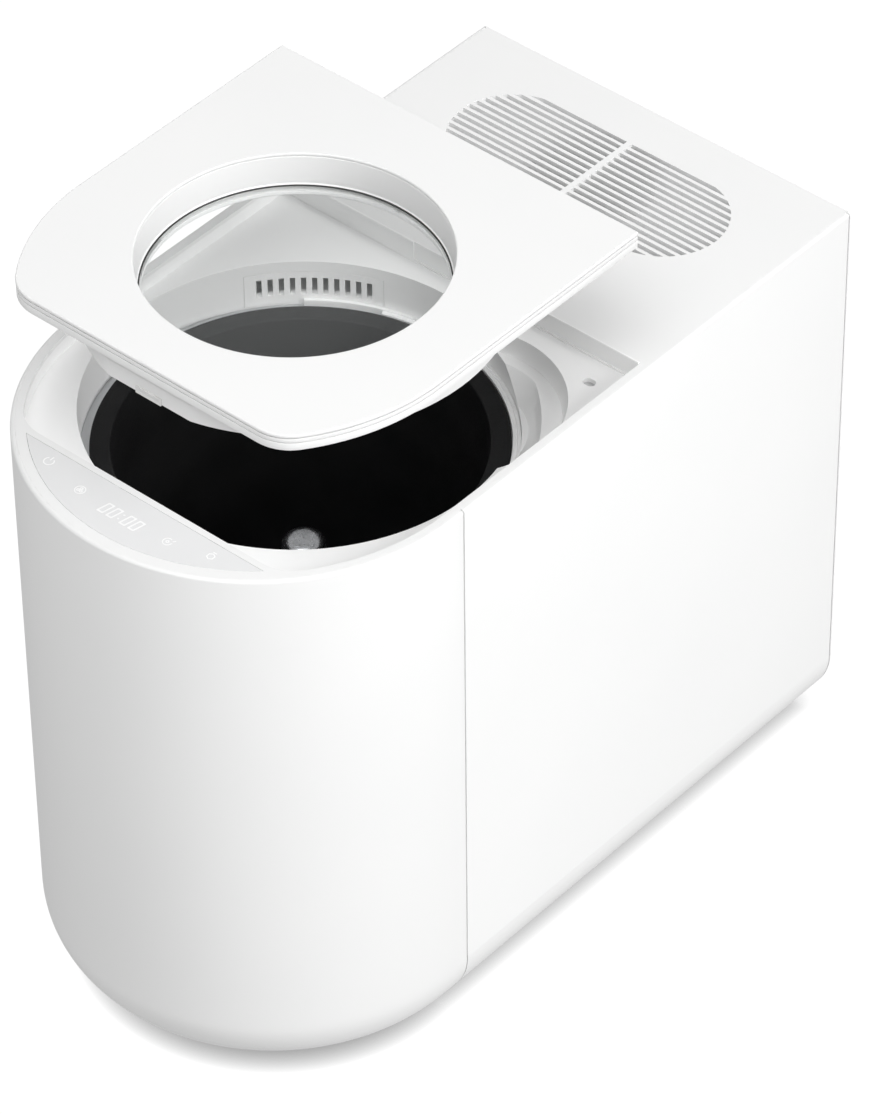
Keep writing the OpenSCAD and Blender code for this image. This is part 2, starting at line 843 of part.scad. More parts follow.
module chamber() {
    h = collar_z - chamber_base;
    color(steel) at_bucket(chamber_base) difference() {
        union() {
            cylinder(r = chamber_r + chamber_t, h = h, $fn = 180);
            translate([0, 0, h - chamber_t]) cylinder(r = chamber_lip_r, h = chamber_t, $fn = 180);
        }
        translate([0, 0, chamber_t]) cylinder(r = chamber_r, h = h, $fn = 180);
        translate([0, 0, -eps]) cylinder(r = bearing_r - 4, h = 3 * chamber_t, $fn = 64);
        for (a = [45 : 90 : 315]) rotate([0, 0, a]) translate([leg_off, 0, -eps])
            cylinder(r = screw_r, h = 3 * chamber_t, $fn = 32);
    }
}

module chamber_legs() {
    color(steel) at_bucket(pan_top) for (a = [45 : 90 : 315]) rotate([0, 0, a]) translate([leg_off, 0, 0])
        difference() {
            cylinder(r = leg_r, h = chamber_base - pan_top, $fn = 48);
            translate([0, 0, chamber_base - pan_top - 15]) cylinder(r = screw_r, h = 16, $fn = 32);
        }
}

module heater_band() {
    r = chamber_r + chamber_t + run_gap;
    color(brass) at_bucket(chamber_floor + band_lift) difference() {
        union() {
            cylinder(r = r + band_t, h = band_h, $fn = 180);
            for (z = lug_z) translate([-lug_w / 2, -r - lug_l, z]) cube([lug_w, lug_l + eps, lug_h]);
        }
        translate([0, 0, -eps]) cylinder(r = r, h = band_h + 2 * eps, $fn = 180);
        translate([-lug_slot / 2, -r - lug_l - eps, -eps])
            cube([lug_slot, lug_l + 3 * eps, band_h + 2 * eps]);
    }
}

module bucket() {
    h = bucket_h;
    low = bucket_base_r;
    color(black) at_bucket(bucket_floor) difference() {
        union() {
            rotate_extrude($fn = 180) bucket_section(low, h);
            translate([0, 0, -bucket_t])
                cylinder(r1 = boss_r + 4, r2 = boss_r, h = boss_h + bucket_t, $fn = 64);
        }
        translate([0, 0, -bucket_t - eps]) cylinder(r = shaft_r + 0.5, h = boss_h + 2 * bucket_t, $fn = 64);
        translate([0, 0, boss_h - 7]) cylinder(r = hub_r, h = 8, $fn = 64);
    }
}

module bucket_section(low, h) {
    difference() {
        union() {
            bucket_profile(bucket_t, low, h, -bucket_t);
            translate([bucket_r, h - flange_t]) square([flange_r - bucket_r, flange_t]);
        }
        bucket_profile(0, low, h + eps, 0);
    }
}

// Half section of the bucket's inside, grown by t, with a rounded foot
module bucket_profile(t, low, h, z0) {
    r = bucket_round + t;
    polygon(concat([[0, z0]],
        [for (a = [-90 : 10 : 0]) [low - bucket_round + r * cos(a), z0 + r + r * sin(a)]],
        [[bucket_r + t, h], [0, h]]));
}

// Light lip in the gap around the scoop's side of the bucket's flange, which centres the bucket
module bucket_guide() {
    r0 = flange_r + guide_gap;
    r1 = open_r - fit;
    color(soft_white) at_bucket(collar_z) {
        guide_ring(r0, r1, guide_a - guide_span, guide_a, guide_h);
        guide_ring(r1 - guide_lip, r1, guide_a - guide_span, guide_a + guide_tail, guide_h + guide_rise);
    }
}

module guide_ring(r0, r1, a0, a1, h) {
    rotate([0, 0, a0]) rotate_extrude(angle = a1 - a0, $fn = 180) translate([r0, 0]) square([r1 - r0, h]);
}

module shaft_seal() {
    color(rubber_grey) at_bucket(bucket_floor + boss_h - 7) difference() {
        cylinder(r = hub_r - fit, h = 6.5, $fn = 64);
        translate([0, 0, -eps]) cylinder(r = shaft_r + run_gap + 0.1, h = 9, $fn = 64);
    }
}

// Stirrer: a hub with two low sweeping arms and three higher mixing arms
module agitator() {
    color(steel) at_bucket(0) difference() {
        union() {
            translate([0, 0, hub_z0]) cylinder(r = hub_r, h = hub_z1 - hub_z0 - hub_top, $fn = 64);
            translate([0, 0, hub_z1 - hub_top])
                cylinder(r1 = hub_r, r2 = hub_r - hub_top, h = hub_top, $fn = 64);
            for (a = [0, 180]) rotate([0, 0, a]) sweep_arm();
            for (i = [0 : 2])
                mix_arm(hub_z0 + arm_z + arm_pitch * i, mix_a[i], sweep_r - arm_short - arm_step * i);
        }
        translate([0, 0, hub_z0 - eps])
            cylinder(r = shaft_r + fit, h = shaft_z1 - hub_z0 + eps + fit, $fn = 64);
    }
}

// Low arm: goes out over the shaft's boss, then down to a tilted paddle near the floor
module sweep_arm() {
    z = hub_z0 + arm_r + 3;
    hull() {
        translate([hub_r - 4, 0, z]) rotate([0, 90, 0]) cylinder(r = arm_r, h = 1, $fn = 24);
        translate([paddle_x, 0, z - arm_r + 1]) rotate([0, 90, 0]) cylinder(r = arm_r - 1, h = 1, $fn = 24);
    }
    hull() {
        translate([paddle_x - 1, 0, bucket_floor + 6 + paddle_w / 2]) rotate([28, 0, 0])
            cube([4, 5, paddle_w], center = true);
        translate([sweep_r - 2, 0, bucket_floor + 8 + paddle_tip_w / 2]) rotate([28, 0, 0])
            cube([4, 4, paddle_tip_w], center = true);
    }
}

// Higher arm: a tapered rod with a blade at its end
module mix_arm(z, a, reach) {
    rotate([0, 0, a]) {
        translate([hub_r - 3, 0, z]) rotate([0, 90, 0])
            cylinder(r1 = arm_r, r2 = arm_r - 2, h = reach - hub_r + 3, $fn = 32);
        hull() {
            translate([reach - blade_l, 0, z]) rotate([20, 0, 0]) cube([4, 5, blade_w], center = true);
            translate([reach - 2, 0, z]) rotate([20, 0, 0]) cube([4, 3, blade_tip_w], center = true);
        }
    }
}

module drive_shaft() {
    color(steel) at_bucket(shaft_z0) {
        cylinder(r = shaft_r, h = shaft_z1 - shaft_z0, $fn = 64);
    }
}

module shaft_bearing() {
    color(steel) at_bucket(chamber_base - bearing_h) difference() {
        union() {
            cylinder(r = bearing_r, h = bearing_h, $fn = 64);
            translate([0, 0, bearing_h - 3]) cylinder(r = bearing_flange, h = 3, $fn = 64);
            translate([0, 0, bearing_h]) cylinder(r = bearing_r - 4 - fit, h = chamber_t, $fn = 64);
        }
        translate([0, 0, -eps])
            cylinder(r = shaft_r + run_gap, h = bearing_h + chamber_t + 2 * eps, $fn = 64);
        for (a = [0 : 90 : 270]) rotate([0, 0, a]) translate([(bearing_r + bearing_flange) / 2, 0, 0])
            cylinder(r = screw_r, h = 2 * bearing_h, $fn = 24);
    }
}

// Half of an involute tooth, as points from its root circle to its tip circle
function involute(rb, r) = let (t = sqrt(max(0, pow(r / rb, 2) - 1))) t * 180 / PI - atan(t);
function flank(n, thin) = let (
        rp = gear_mod * n / 2,
        rb = rp * cos(20),
        r0 = rp - 1.25 * gear_mod,
        r1 = rp + gear_mod,
        half = 90 / n - thin / rp * 90 / PI + involute(rb, rp))
    [for (k = [0 : 4]) let (r = r0 + (r1 - r0) * k / 4) [r, half - involute(rb, max(r, rb))]];
function tooth(n, i, thin) = let (f = flank(n, thin), a = 360 * i / n) concat(
    [for (p = f) [p[0] * cos(a - p[1]), p[0] * sin(a - p[1])]],
    [for (k = [4 : -1 : 0]) [f[k][0] * cos(a + f[k][1]), f[k][0] * sin(a + f[k][1])]]);

module gear_plan(n) {
    polygon([for (i = [0 : n - 1]) each tooth(n, i, backlash / 2)]);
}

module drive_gear() {
    color(soft_white) at_bucket(gear_z) difference() {
        linear_extrude(gear_t) rotate([0, 0, 90]) gear_plan(gear_n);
        // Pocket that leaves a web, a hub and six ribs
        translate([0, 0, gear_web]) linear_extrude(gear_t) difference() {
            circle(gear_r - 10, $fn = 120);
            circle(gear_hub_r, $fn = 64);
            for (a = [0 : 60 : 300]) rotate([0, 0, a]) translate([0, -2]) square([gear_r, 4]);
        }
        translate([0, 0, -eps]) cylinder(r = shaft_r + 0.02, h = gear_t + 2 * eps, $fn = 64);
        for (a = [30 : 60 : 330]) rotate([0, 0, a]) translate([gear_r * 0.57, 0, -eps])
            cylinder(r = 12, h = gear_t, $fn = 48);
    }
}

module motor_pinion() {
    // The pinion turns a gap between two teeth to the drive gear
    color(brass) translate([0, motor_y, gear_z]) difference() {
        union() {
            rotate([0, 0, -90 + 180 / pinion_n]) linear_extrude(gear_t) gear_plan(pinion_n);
            translate([0, 0, -4]) cylinder(r = pinion_r - 5, h = 4 + fit, $fn = 48);
        }
        translate([0, 0, -5]) cylinder(r = pin_r + 0.02, h = gear_t + 6, $fn = 48);
    }
}

module motor_shaft() {
    color(steel) translate([0, motor_y, bracket_z - motor_bore]) cylinder(r = pin_r,
        h = gear_z + gear_t - 2 - bracket_z + motor_bore, $fn = 48);
}

module gear_bracket() {
    y0 = bucket_y - bracket_front;
    y1 = partition_y - bracket_end;
    color(steel) difference() {
        union() {
            translate([-bracket_w / 2, y0, bracket_z]) cube([bracket_w, y1 - y0, bracket_t]);
            for (x = [-pillar_x, pillar_x], y = [y0 + bracket_inset, y1 - bracket_inset])
                translate([x, y, pan_top]) cylinder(r = pillar_r, h = bracket_z - pan_top + fit, $fn = 48);
        }
        at_bucket(bracket_z - eps) cylinder(r = bush_r, h = 2 * bracket_t, $fn = 48);
        translate([0, motor_y, bracket_z - eps]) cylinder(r = pin_r + 4, h = 2 * bracket_t, $fn = 48);
        for (y = [bucket_y + 26, bucket_y + 46])
            translate([-30, y, bracket_z - eps]) cube([60, 12, 2 * bracket_t]);
    }
}

module foot_bush() {
    h = bracket_t + 1 + 9;
    color(brass) at_bucket(bracket_z - 3) difference() {
        union() {
            translate([0, 0, -4]) cylinder(r = bush_r + 4, h = 7, $fn = 48);
            cylinder(r = bush_r - fit, h = h, $fn = 48);
        }
        translate([0, 0, shaft_z0 - bracket_z + 3 - fit]) cylinder(r = shaft_r + run_gap, h = h, $fn = 64);
    }
}

module gear_motor() {
    h = bracket_z - motor_z0;
    color(steel) translate([0, motor_y, motor_z0]) difference() {
        union() {
            cylinder(r = motor_r - 2, h = 4, $fn = 64);
            translate([0, 0, 4]) cylinder(r = motor_r, h = h - 12, $fn = 64);
            translate([0, 0, h - 8]) cylinder(r = motor_r - 4, h = 8, $fn = 64);
            translate([0, 0, pan_top - motor_z0]) cylinder(r = motor_r - 10, h = motor_lift + fit, $fn = 48);
        }
        translate([0, 0, h - motor_bore - fit]) cylinder(r = pin_r + run_gap, h = motor_bore + eps, $fn = 48);
    }
}

module partition() {
    duct_x1 = duct_port_x();
    color(steel) difference() {
        along_y(partition_y, partition_y + partition_t) intersection() {
            union() {
                half_section(wall + fit);
                mirror([1, 0]) half_section(wall + fit);
            }
            translate([-half_w, pan_top - foot_h]) square([body_w, tray_z - deck_t - pan_top]);
        }
        translate([duct_x1[0] - fit, 0, vent_z - vent_lip - fit])
            cube([duct_x1[1] - duct_x1[0] + 2 * fit, body_l, duct_h + 2 * fit]);
        // Holes for the wires of the heater, the sensor and the display
        for (x = [-60, 60], z = [120, 220]) translate([x, partition_y - eps, z]) rotate([-90, 0, 0])
            cylinder(r = 12, h = 2 * partition_t, $fn = 48);
    }
}

// Duct from the collar's vent through the partition to the filter housing
function polar(r, a) = [r * cos(a), bucket_y + r * sin(a)];
function duct_mouth(side, out) = let (p = polar(duct_r + out, vent_a), w = vent_w / 2 - 2)
    [p[0] - side * w * sin(vent_a), p[1] + side * w * cos(vent_a)];
function duct_port_x() = [duct_mouth(1, 12)[0] - 2, duct_mouth(-1, 0)[0] + 4];

module duct_plan(t) {
    px = duct_port_x();
    polygon([duct_mouth(-1, t > 0 ? -20 : 0) + [-t, 0], [px[1] - t, partition_y - 4],
        [px[1] - t, duct_back - t], [px[0] + t, duct_back - t], [px[0] + t, duct_mouth(1, 10)[1]],
        duct_mouth(1, t > 0 ? -20 : 0) + [t, t]]);
}

module exhaust_duct() {
    px = duct_port_x();
    x0 = px[0] + 15;
    z = vent_z - vent_lip;
    l = filter_y0 - duct_y0;
    color(soft_white) difference() {
        union() {
            translate([0, 0, z]) linear_extrude(duct_h) duct_plan(0);
            translate([x0, duct_y0, drop_z]) cube([drop_w, l, z - drop_z + duct_t]);
        }
        translate([0, 0, z + duct_t]) linear_extrude(duct_h - 2 * duct_t) duct_plan(duct_t);
        translate([x0 + duct_t, duct_y0 + duct_t, drop_z + duct_t])
            cube([drop_w - 2 * duct_t, l - 2 * duct_t, z - drop_z - 2 * duct_t]);
        translate([x0 + duct_t, duct_y0 + duct_t, z - 2 * duct_t - eps])
            cube([drop_w - 2 * duct_t, duct_back - duct_y0 - 2 * duct_t, 4 * duct_t]);
        translate([x0 + duct_t, filter_y0 - 2 * duct_t, drop_z + duct_t])
            cube([drop_w - 2 * duct_t, 3 * duct_t, port_h]);
        at_bucket(0) cylinder(r = duct_r + fit, h = top_z, $fn = 180);
    }
}

module filter_box() {
    x0 = max(duct_port_x()[0] + 15, 2 * box_t - filter_w / 2);
    x1 = duct_port_x()[0] + 15 + drop_w - duct_t;
    in_w = filter_w - 2 * box_t;
    color(soft_white) {
        difference() {
            translate([-filter_w / 2, filter_y0, filter_z0]) cube([filter_w, filter_l, filter_h]);
            translate([-in_w / 2, filter_y0 + box_t, filter_z0 + box_t])
                cube([in_w, filter_l - 2 * box_t, filter_h - 2 * box_t]);
            translate([0, grille_y, filter_z1 - 2 * box_t]) cylinder(r = fan_r, h = 4 * box_t, $fn = 96);
            translate([x0, filter_y0 - eps, drop_z + duct_t]) cube([x1 - x0, 3 * box_t, port_h]);
        }
        // Ledges under the ends of the cartridge
        for (side = [0, 1]) mirror([side, 0, 0])
            translate([in_w / 2 - 6, filter_y0 + box_t - fit, filter_z0 + cartridge_lift - box_t])
                cube([6 + fit, filter_l - 2 * box_t + 2 * fit, box_t]);
    }
}

// Sheet stand that carries the filter housing over the power supply
module filter_stand() {
    y0 = grille_y - stand_w / 2;
    color(steel) difference() {
        union() {
            translate([-stand_x, y0, filter_z0 - stand_t]) cube([2 * stand_x, stand_w, stand_t]);
            for (side = [0, 1]) mirror([side, 0, 0]) {
                translate([stand_x - stand_t, y0, pan_top]) cube([stand_t, stand_w, filter_z0 - pan_top]);
                translate([stand_x - 14, y0, pan_top]) cube([14, stand_w, stand_t]);
            }
        }
        translate([-stand_x + 20, y0 + 12, filter_z0 - 2 * stand_t])
            cube([2 * stand_x - 40, stand_w - 24, 3 * stand_t]);
        for (side = [0, 1]) mirror([side, 0, 0])
            translate([stand_x - 2 * stand_t, y0 + 14, pan_top + 30])
                cube([3 * stand_t, stand_w - 28, filter_z0 - pan_top - 60]);
    }
}

module filter_cartridge() {
    w = filter_w - 2 * box_t - 1;
    l = filter_l - 2 * box_t - 1;
    color(rubber_grey) translate([-w / 2, grille_y - l / 2, filter_z0 + cartridge_lift]) difference() {
        cube([w, l, cartridge_h]);
        for (x = [8 : 12 : w - 14]) translate([x, 6, cartridge_h - 6]) cube([6, l - 12, 7]);
    }
}

module fan_frame() {
    hole = fan_w / 2 - 5;
    color(black) translate([0, grille_y, fan_z0]) {
        difference() {
            linear_extrude(fan_t) difference() {
                square([fan_w, fan_w], center = true);
                circle(fan_r - 0.5, $fn = 120);
                for (x = [-hole, hole], y = [-hole, hole]) translate([x, y]) circle(screw_r, $fn = 24);
            }
            for (a = [0 : 90 : 270]) rotate([0, 0, a]) translate([fan_w / 2 - 4, -fan_w / 4, 4])
                cube([eps + 4, fan_w / 2, fan_t - 8]);
        }
        cylinder(r = stator_r, h = 5, $fn = 48);
        cylinder(r = fan_pin, h = fan_t - 5, $fn = 48);
        for (a = [45 : 90 : 315]) rotate([0, 0, a]) translate([stator_r - 2, -2, 0])
            cube([fan_r - stator_r + 2.5, 4, 3]);
    }
}

module fan_impeller() {
    z = 6;
    h = fan_t - z - 2;
    color(black) translate([0, grille_y, fan_z0 + z]) difference() {
        union() {
            cylinder(r = fan_hub, h = h, $fn = 64);
            for (i = [0 : blade_n - 1]) rotate([0, 0, 360 * i / blade_n])
                translate([fan_hub - 2, 0, h / 2]) rotate([40, 0, 0])
                    translate([0, -0.8, -h / 2]) cube([fan_r - fan_hub, 1.6, h]);
        }
        translate([0, 0, -eps]) cylinder(r = fan_pin + run_gap, h = h - 1, $fn = 48);
        translate([0, 0, -eps]) difference() {
            cylinder(r = fan_hub - 2, h = 6, $fn = 64);
            cylinder(r = fan_pin + 4, h = 6, $fn = 48);
        }
    }
}

// Stadium collar between the fan and the grille
module exhaust_collar() {
    l = grille_l + 2;
    e = grille_end + 1;
    h = deck_under - fan_z1;
    color(soft_white) translate([0, grille_y, fan_z1]) difference() {
        stadium(l, e + collar_t, h);
        translate([0, 0, collar_t]) stadium(l, e, h);
        translate([0, 0, -eps]) cylinder(r = fan_r - 1, h = 3 * collar_t, $fn = 96);
    }
}

module stadium(l, e, h) {
    translate([-l / 2 + grille_end, -e, 0]) cube([l - grille_w, 2 * e, h]);
    for (side = [-1, 1]) translate([side * (l / 2 - grille_end), 0, 0]) cylinder(r = e, h = h, $fn = 96);
}

module power_inlet() {
    color(black) translate([inlet_x, rear_y, inlet_z]) rotate([90, 0, 0]) {
        difference() {
            union() {
                translate([-inlet_w / 2 - 4, -inlet_h / 2 - 3, -2]) cube([inlet_w + 8, inlet_h + 6, 2]);
                translate([-inlet_w / 2 + fit, -inlet_h / 2 + fit, -eps])
                    cube([inlet_w - 2 * fit, inlet_h - 2 * fit, inlet_l + eps]);
            }
            translate([-inlet_w / 2 + 2, -inlet_h / 2 + 2, -3]) cube([inlet_w - 4, inlet_h - 4, 18]);
        }
        for (x = [-7, 0, 7]) translate([x - 1, x == 0 ? 1 : -4, 8]) cube([2, 4, inlet_l - 14]);
    }
}

module power_board() {
    color(board_green) translate([-board_w / 2, board_y - board_l / 2, board_z]) {
        cube([board_w, board_l, board_t]);
        // Transformer, two capacitors, heat sink and terminal block
        translate([12, 14, board_t - fit]) cube([36, 32, 28]);
        for (x = capacitor_x) translate([x, 20, board_t - fit]) cylinder(r = 9, h = 32, $fn = 32);
        translate([60, 52, board_t - fit]) cube([40, 8, 24]);
        translate([14, 62, board_t - fit]) cube([30, 14, 12]);
    }
}

module feet() {
    color(rubber_grey) for (x = [-foot_x, foot_x], y = [foot_y0, foot_y1]) translate([x, y, 0]) difference() {
        cylinder(r1 = foot_r - 1, r2 = foot_r, h = foot_h, $fn = 64);
        translate([0, 0, -eps]) cylinder(r = screw_head_r + 1, h = foot_h - 1.5, $fn = 32);
        cylinder(r = screw_r, h = foot_h + eps, $fn = 32);
    }
}

module base_screws() {
    color(steel) for (x = [-foot_x, foot_x], y = [foot_y0, foot_y1]) translate([x, y, foot_h - 2.5 - 2]) {
        difference() {
            cylinder(r = screw_head_r, h = 2, $fn = 32);
            for (a = [0, 90]) rotate([0, 0, a]) translate([-2, -0.5, -eps]) cube([4, 1, 2]);
        }
        translate([0, 0, 1.5]) cylinder(r = screw_r - 0.1, h = 10, $fn = 32);
    }
}

front_shell();
left_side_panel();
right_side_panel();
rear_panel();
base_pan();
top_deck();
recess_tray();
rear_rail();
vent_insert();
touch_panel();
display_board();
lid_plate();
lid_tray();
window_bezel();
window_gasket();
window_glass();
glass_ring();
lid_seal();
latch_tab();
lid_peg();
lid_sensor();
chamber();
chamber_legs();
heater_band();
bucket();
bucket_guide();
shaft_seal();
agitator();
drive_shaft();
shaft_bearing();
drive_gear();
gear_bracket();
foot_bush();
gear_motor();
motor_shaft();
motor_pinion();
partition();
exhaust_duct();
filter_box();
filter_cartridge();
filter_stand();
fan_frame();
fan_impeller();
exhaust_collar();
power_inlet();
power_board();
feet();
rear_screws();
base_screws();
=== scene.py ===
import math

import bmesh
import bpy
from mathutils import Matrix, Vector


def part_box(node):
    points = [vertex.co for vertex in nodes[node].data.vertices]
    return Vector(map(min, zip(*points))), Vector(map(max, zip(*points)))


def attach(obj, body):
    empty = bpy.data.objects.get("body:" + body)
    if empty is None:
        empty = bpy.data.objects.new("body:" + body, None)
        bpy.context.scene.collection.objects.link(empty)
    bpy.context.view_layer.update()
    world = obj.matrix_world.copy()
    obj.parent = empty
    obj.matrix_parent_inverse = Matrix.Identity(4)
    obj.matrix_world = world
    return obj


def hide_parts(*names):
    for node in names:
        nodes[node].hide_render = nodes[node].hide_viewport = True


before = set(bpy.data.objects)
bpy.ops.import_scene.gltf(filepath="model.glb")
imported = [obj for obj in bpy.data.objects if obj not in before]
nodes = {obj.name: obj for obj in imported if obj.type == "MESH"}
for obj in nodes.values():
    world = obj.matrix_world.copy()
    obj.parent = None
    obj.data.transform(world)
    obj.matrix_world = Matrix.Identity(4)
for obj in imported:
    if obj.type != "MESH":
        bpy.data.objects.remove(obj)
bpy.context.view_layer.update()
print("frame loaded:", len(nodes), "nodes")

# Main places of the composter, in metres
body = {
    "halfWidth": 0.150, "noseY": -0.115, "seamY": -0.103, "seamGap": 0.0010, "backY": 0.265,
    "underZ": 0.006, "topZ": 0.428, "footFillet": 0.050, "wall": 0.003, "edgeRound": 0.002,
    "flange": 0.008, "bucketY": -0.081, "deckFit": 0.0002, "backTrim": 0.0010, "backGap": 0.0008,
}

# How near two places count as one, in metres, and how squarely a face looks along an axis
near = {"weld": 0.000005, "hair": 0.00001, "fine": 0.0001, "skin": 0.0003, "loose": 0.001}
facing = {"exact": 0.999, "square": 0.9, "half": 0.5}


# Camera at the photograph's viewing angle

cameraView = {
    "place": (1.92764, -2.14547, 2.81047),
    "turn": (48.2334, 0.4513, 40.8620),
    "lens": 198.6, "sensor": 36, "farthest": 50,
}


def makeCamera():
    turn = [math.radians(angle) for angle in cameraView["turn"]]
    bpy.ops.object.camera_add(location=cameraView["place"], rotation=turn)
    camera = bpy.context.object
    camera.data.lens = cameraView["lens"]
    camera.data.sensor_width = cameraView["sensor"]
    camera.data.clip_end = cameraView["farthest"]
    bpy.context.scene.camera = camera


makeCamera()


# Studio: a soft sky over a lighter ground, a white backdrop for the camera, and three soft boxes

studio = {
    "skyStrength": 0.47, "groundStrength": 0.61, "horizonBlend": 0.15, "backdropGlow": 1.0,
    "keyPlace": (3.9, 0.54, 2.3), "keySize": 2.2, "keyPower": 113,
    "fillPlace": (1.0, -1.73, 4.17), "fillSize": 2.6, "fillPower": 88,
    "frontPlace": (2.86, -3.29, 0.95), "frontSize": 1.8, "frontPower": 8,
    "lightAim": (0, 0, 0.25),
}


def makeWorld():
    world = bpy.data.worlds.new("studioWorld")
    world.use_nodes = True
    tree = world.node_tree
    background = tree.nodes["Background"]
    background.inputs["Color"].default_value = (1, 1, 1, 1)
    lookWay = tree.nodes.new("ShaderNodeTexCoord")
    upShare = tree.nodes.new("ShaderNodeSeparateXYZ")
    skySpan = tree.nodes.new("ShaderNodeMapRange")
    skySpan.inputs["From Min"].default_value = -studio["horizonBlend"]
    skySpan.inputs["From Max"].default_value = studio["horizonBlend"]
    skySpan.inputs["To Min"].default_value = studio["groundStrength"]
    skySpan.inputs["To Max"].default_value = studio["skyStrength"]
    lightPath = tree.nodes.new("ShaderNodeLightPath")
    backdrop = tree.nodes.new("ShaderNodeMix")
    backdrop.inputs["B"].default_value = studio["backdropGlow"]
    tree.links.new(lookWay.outputs["Generated"], upShare.inputs["Vector"])
    tree.links.new(upShare.outputs["Z"], skySpan.inputs["Value"])
    tree.links.new(lightPath.outputs["Is Camera Ray"], backdrop.inputs["Factor"])
    tree.links.new(skySpan.outputs["Result"], backdrop.inputs["A"])
    tree.links.new(backdrop.outputs["Result"], background.inputs["Strength"])
    bpy.context.scene.world = world
    bpy.context.scene.view_settings.view_transform = "Standard"


def softBox(name, place, size, power):
    aim = Vector(studio["lightAim"]) - Vector(place)
    turn = aim.to_track_quat("-Z", "Y").to_euler()
    bpy.ops.object.light_add(type="AREA", location=place, rotation=turn)
    lamp = bpy.context.object
    lamp.name = name
    lamp.data.shape = "SQUARE"
    lamp.data.size = size
    lamp.data.energy = power


makeWorld()
for box in ("key", "fill", "front"):
    softBox(box + "Light", studio[box + "Place"], studio[box + "Size"], studio[box + "Power"])
print("camera and studio made")


# Materials

# Two near tones, the span of the gloss, the scale of the fine grain and how deep it is
looks = {
    "shellWhite": {
        "tones": ((0.845, 0.847, 0.845), (0.862, 0.863, 0.86)),
        "roughness": (0.34, 0.40), "grain": 1400, "depth": 0.00002, "specular": 0.25,
    },
    # A lighter copy of the white plastic: painted light that lifts the tray, rail and other parts lying in
    # the shade of the recess and the lid
    "trayWhitePaintedLight": {
        "tones": ((0.935, 0.937, 0.935), (0.945, 0.945, 0.942)),
        "roughness": (0.38, 0.46), "grain": 1400, "depth": 0.00002,
    },
    # A darker copy of the white plastic: painted shade on the plug under the lid
    "plugWhitePaintedShade": {
        "tones": ((0.82, 0.822, 0.82), (0.835, 0.835, 0.832)),
        "roughness": (0.38, 0.46), "grain": 1400, "depth": 0.00002,
    },
    "linerGrey": {
        "tones": ((0.62, 0.625, 0.63), (0.65, 0.65, 0.652)),
        "roughness": (0.45, 0.55), "grain": 1200, "depth": 0.00002,
    },
    "panelGrey": {
        "tones": ((0.79, 0.793, 0.797), (0.805, 0.807, 0.81)),
        "roughness": (0.16, 0.2), "grain": 500, "depth": 0.000006, "coat": 0.3,
    },
    "markWhite": {
        "tones": ((0.93, 0.93, 0.93), (0.96, 0.96, 0.96)),
        "roughness": (0.4, 0.5), "grain": 900, "depth": 0.00001,
    },
    "bucketBlack": {
        "tones": ((0.008, 0.008, 0.0085), (0.013, 0.013, 0.0135)),
        "roughness": (0.46, 0.6), "grain": 900, "depth": 0.00004, "mottle": 25, "specular": 0.14,
    },
    "gasketBlack": {
        "tones": ((0.02, 0.02, 0.02), (0.035, 0.035, 0.035)),
        "roughness": (0.6, 0.75), "grain": 700, "depth": 0.00005,
    },
    "housingBlack": {
        "tones": ((0.022, 0.022, 0.024), (0.032, 0.032, 0.034)),
        "roughness": (0.4, 0.5), "grain": 800, "depth": 0.00004,
    },
    "sealWhite": {
        "tones": ((0.70, 0.70, 0.69), (0.74, 0.74, 0.73)),
        "roughness": (0.55, 0.7), "grain": 600, "depth": 0.00003,
    },
    "castAlloy": {
        "tones": ((0.58, 0.59, 0.6), (0.66, 0.67, 0.68)),
        "roughness": (0.32, 0.45), "grain": 500, "depth": 0.00003, "metallic": 1.0,
    },
    "brushedSteel": {
        "tones": ((0.55, 0.56, 0.58), (0.66, 0.67, 0.69)),
        "roughness": (0.2, 0.34), "grain": 240, "depth": 0.00002, "metallic": 1.0, "stretch": (1, 1, 14),
    },
    "turnedBrass": {
        "tones": ((0.66, 0.5, 0.24), (0.74, 0.58, 0.3)),
        "roughness": (0.22, 0.34), "grain": 260, "depth": 0.00002, "metallic": 1.0, "stretch": (1, 1, 10),
    },
    "gearNylon": {
        "tones": ((0.78, 0.76, 0.69), (0.84, 0.82, 0.76)),
        "roughness": (0.45, 0.55), "grain": 900, "depth": 0.00002,
    },
    "boardGreen": {
        "tones": ((0.02, 0.14, 0.07), (0.03, 0.18, 0.09)),
        "roughness": (0.25, 0.35), "grain": 300, "depth": 0.00001,
    },
    "carbonBlack": {
        "tones": ((0.012, 0.012, 0.012), (0.05, 0.05, 0.05)),
        "roughness": (0.7, 0.9), "grain": 420, "depth": 0.0004, "mottle": 300,
    },
}
plainLook = {"mottle": 6.0, "metallic": 0.0, "specular": 0.5, "coat": 0.0, "stretch": None}
grainLook = {"broadDetail": 3.0, "fineDetail": 4.0, "low": 0.3, "high": 0.7, "bumpStrength": 0.6}


def blankMaterial(name):
    material = bpy.data.materials.new(name)
    material.use_nodes = True
    tree = material.node_tree
    shader = tree.nodes["Principled BSDF"]
    where = tree.nodes.new("ShaderNodeTexCoord")
    return material, tree, shader, where


def noiseNode(tree, where, scale, detail=grainLook["broadDetail"], stretch=None):
    noise = tree.nodes.new("ShaderNodeTexNoise")
    noise.inputs["Scale"].default_value = scale
    noise.inputs["Detail"].default_value = detail
    if stretch:
        mapping = tree.nodes.new("ShaderNodeMapping")
        mapping.inputs["Scale"].default_value = stretch
        tree.links.new(where.outputs["Object"], mapping.inputs["Vector"])
        tree.links.new(mapping.outputs["Vector"], noise.inputs["Vector"])
    else:
        tree.links.new(where.outputs["Object"], noise.inputs["Vector"])
    return noise


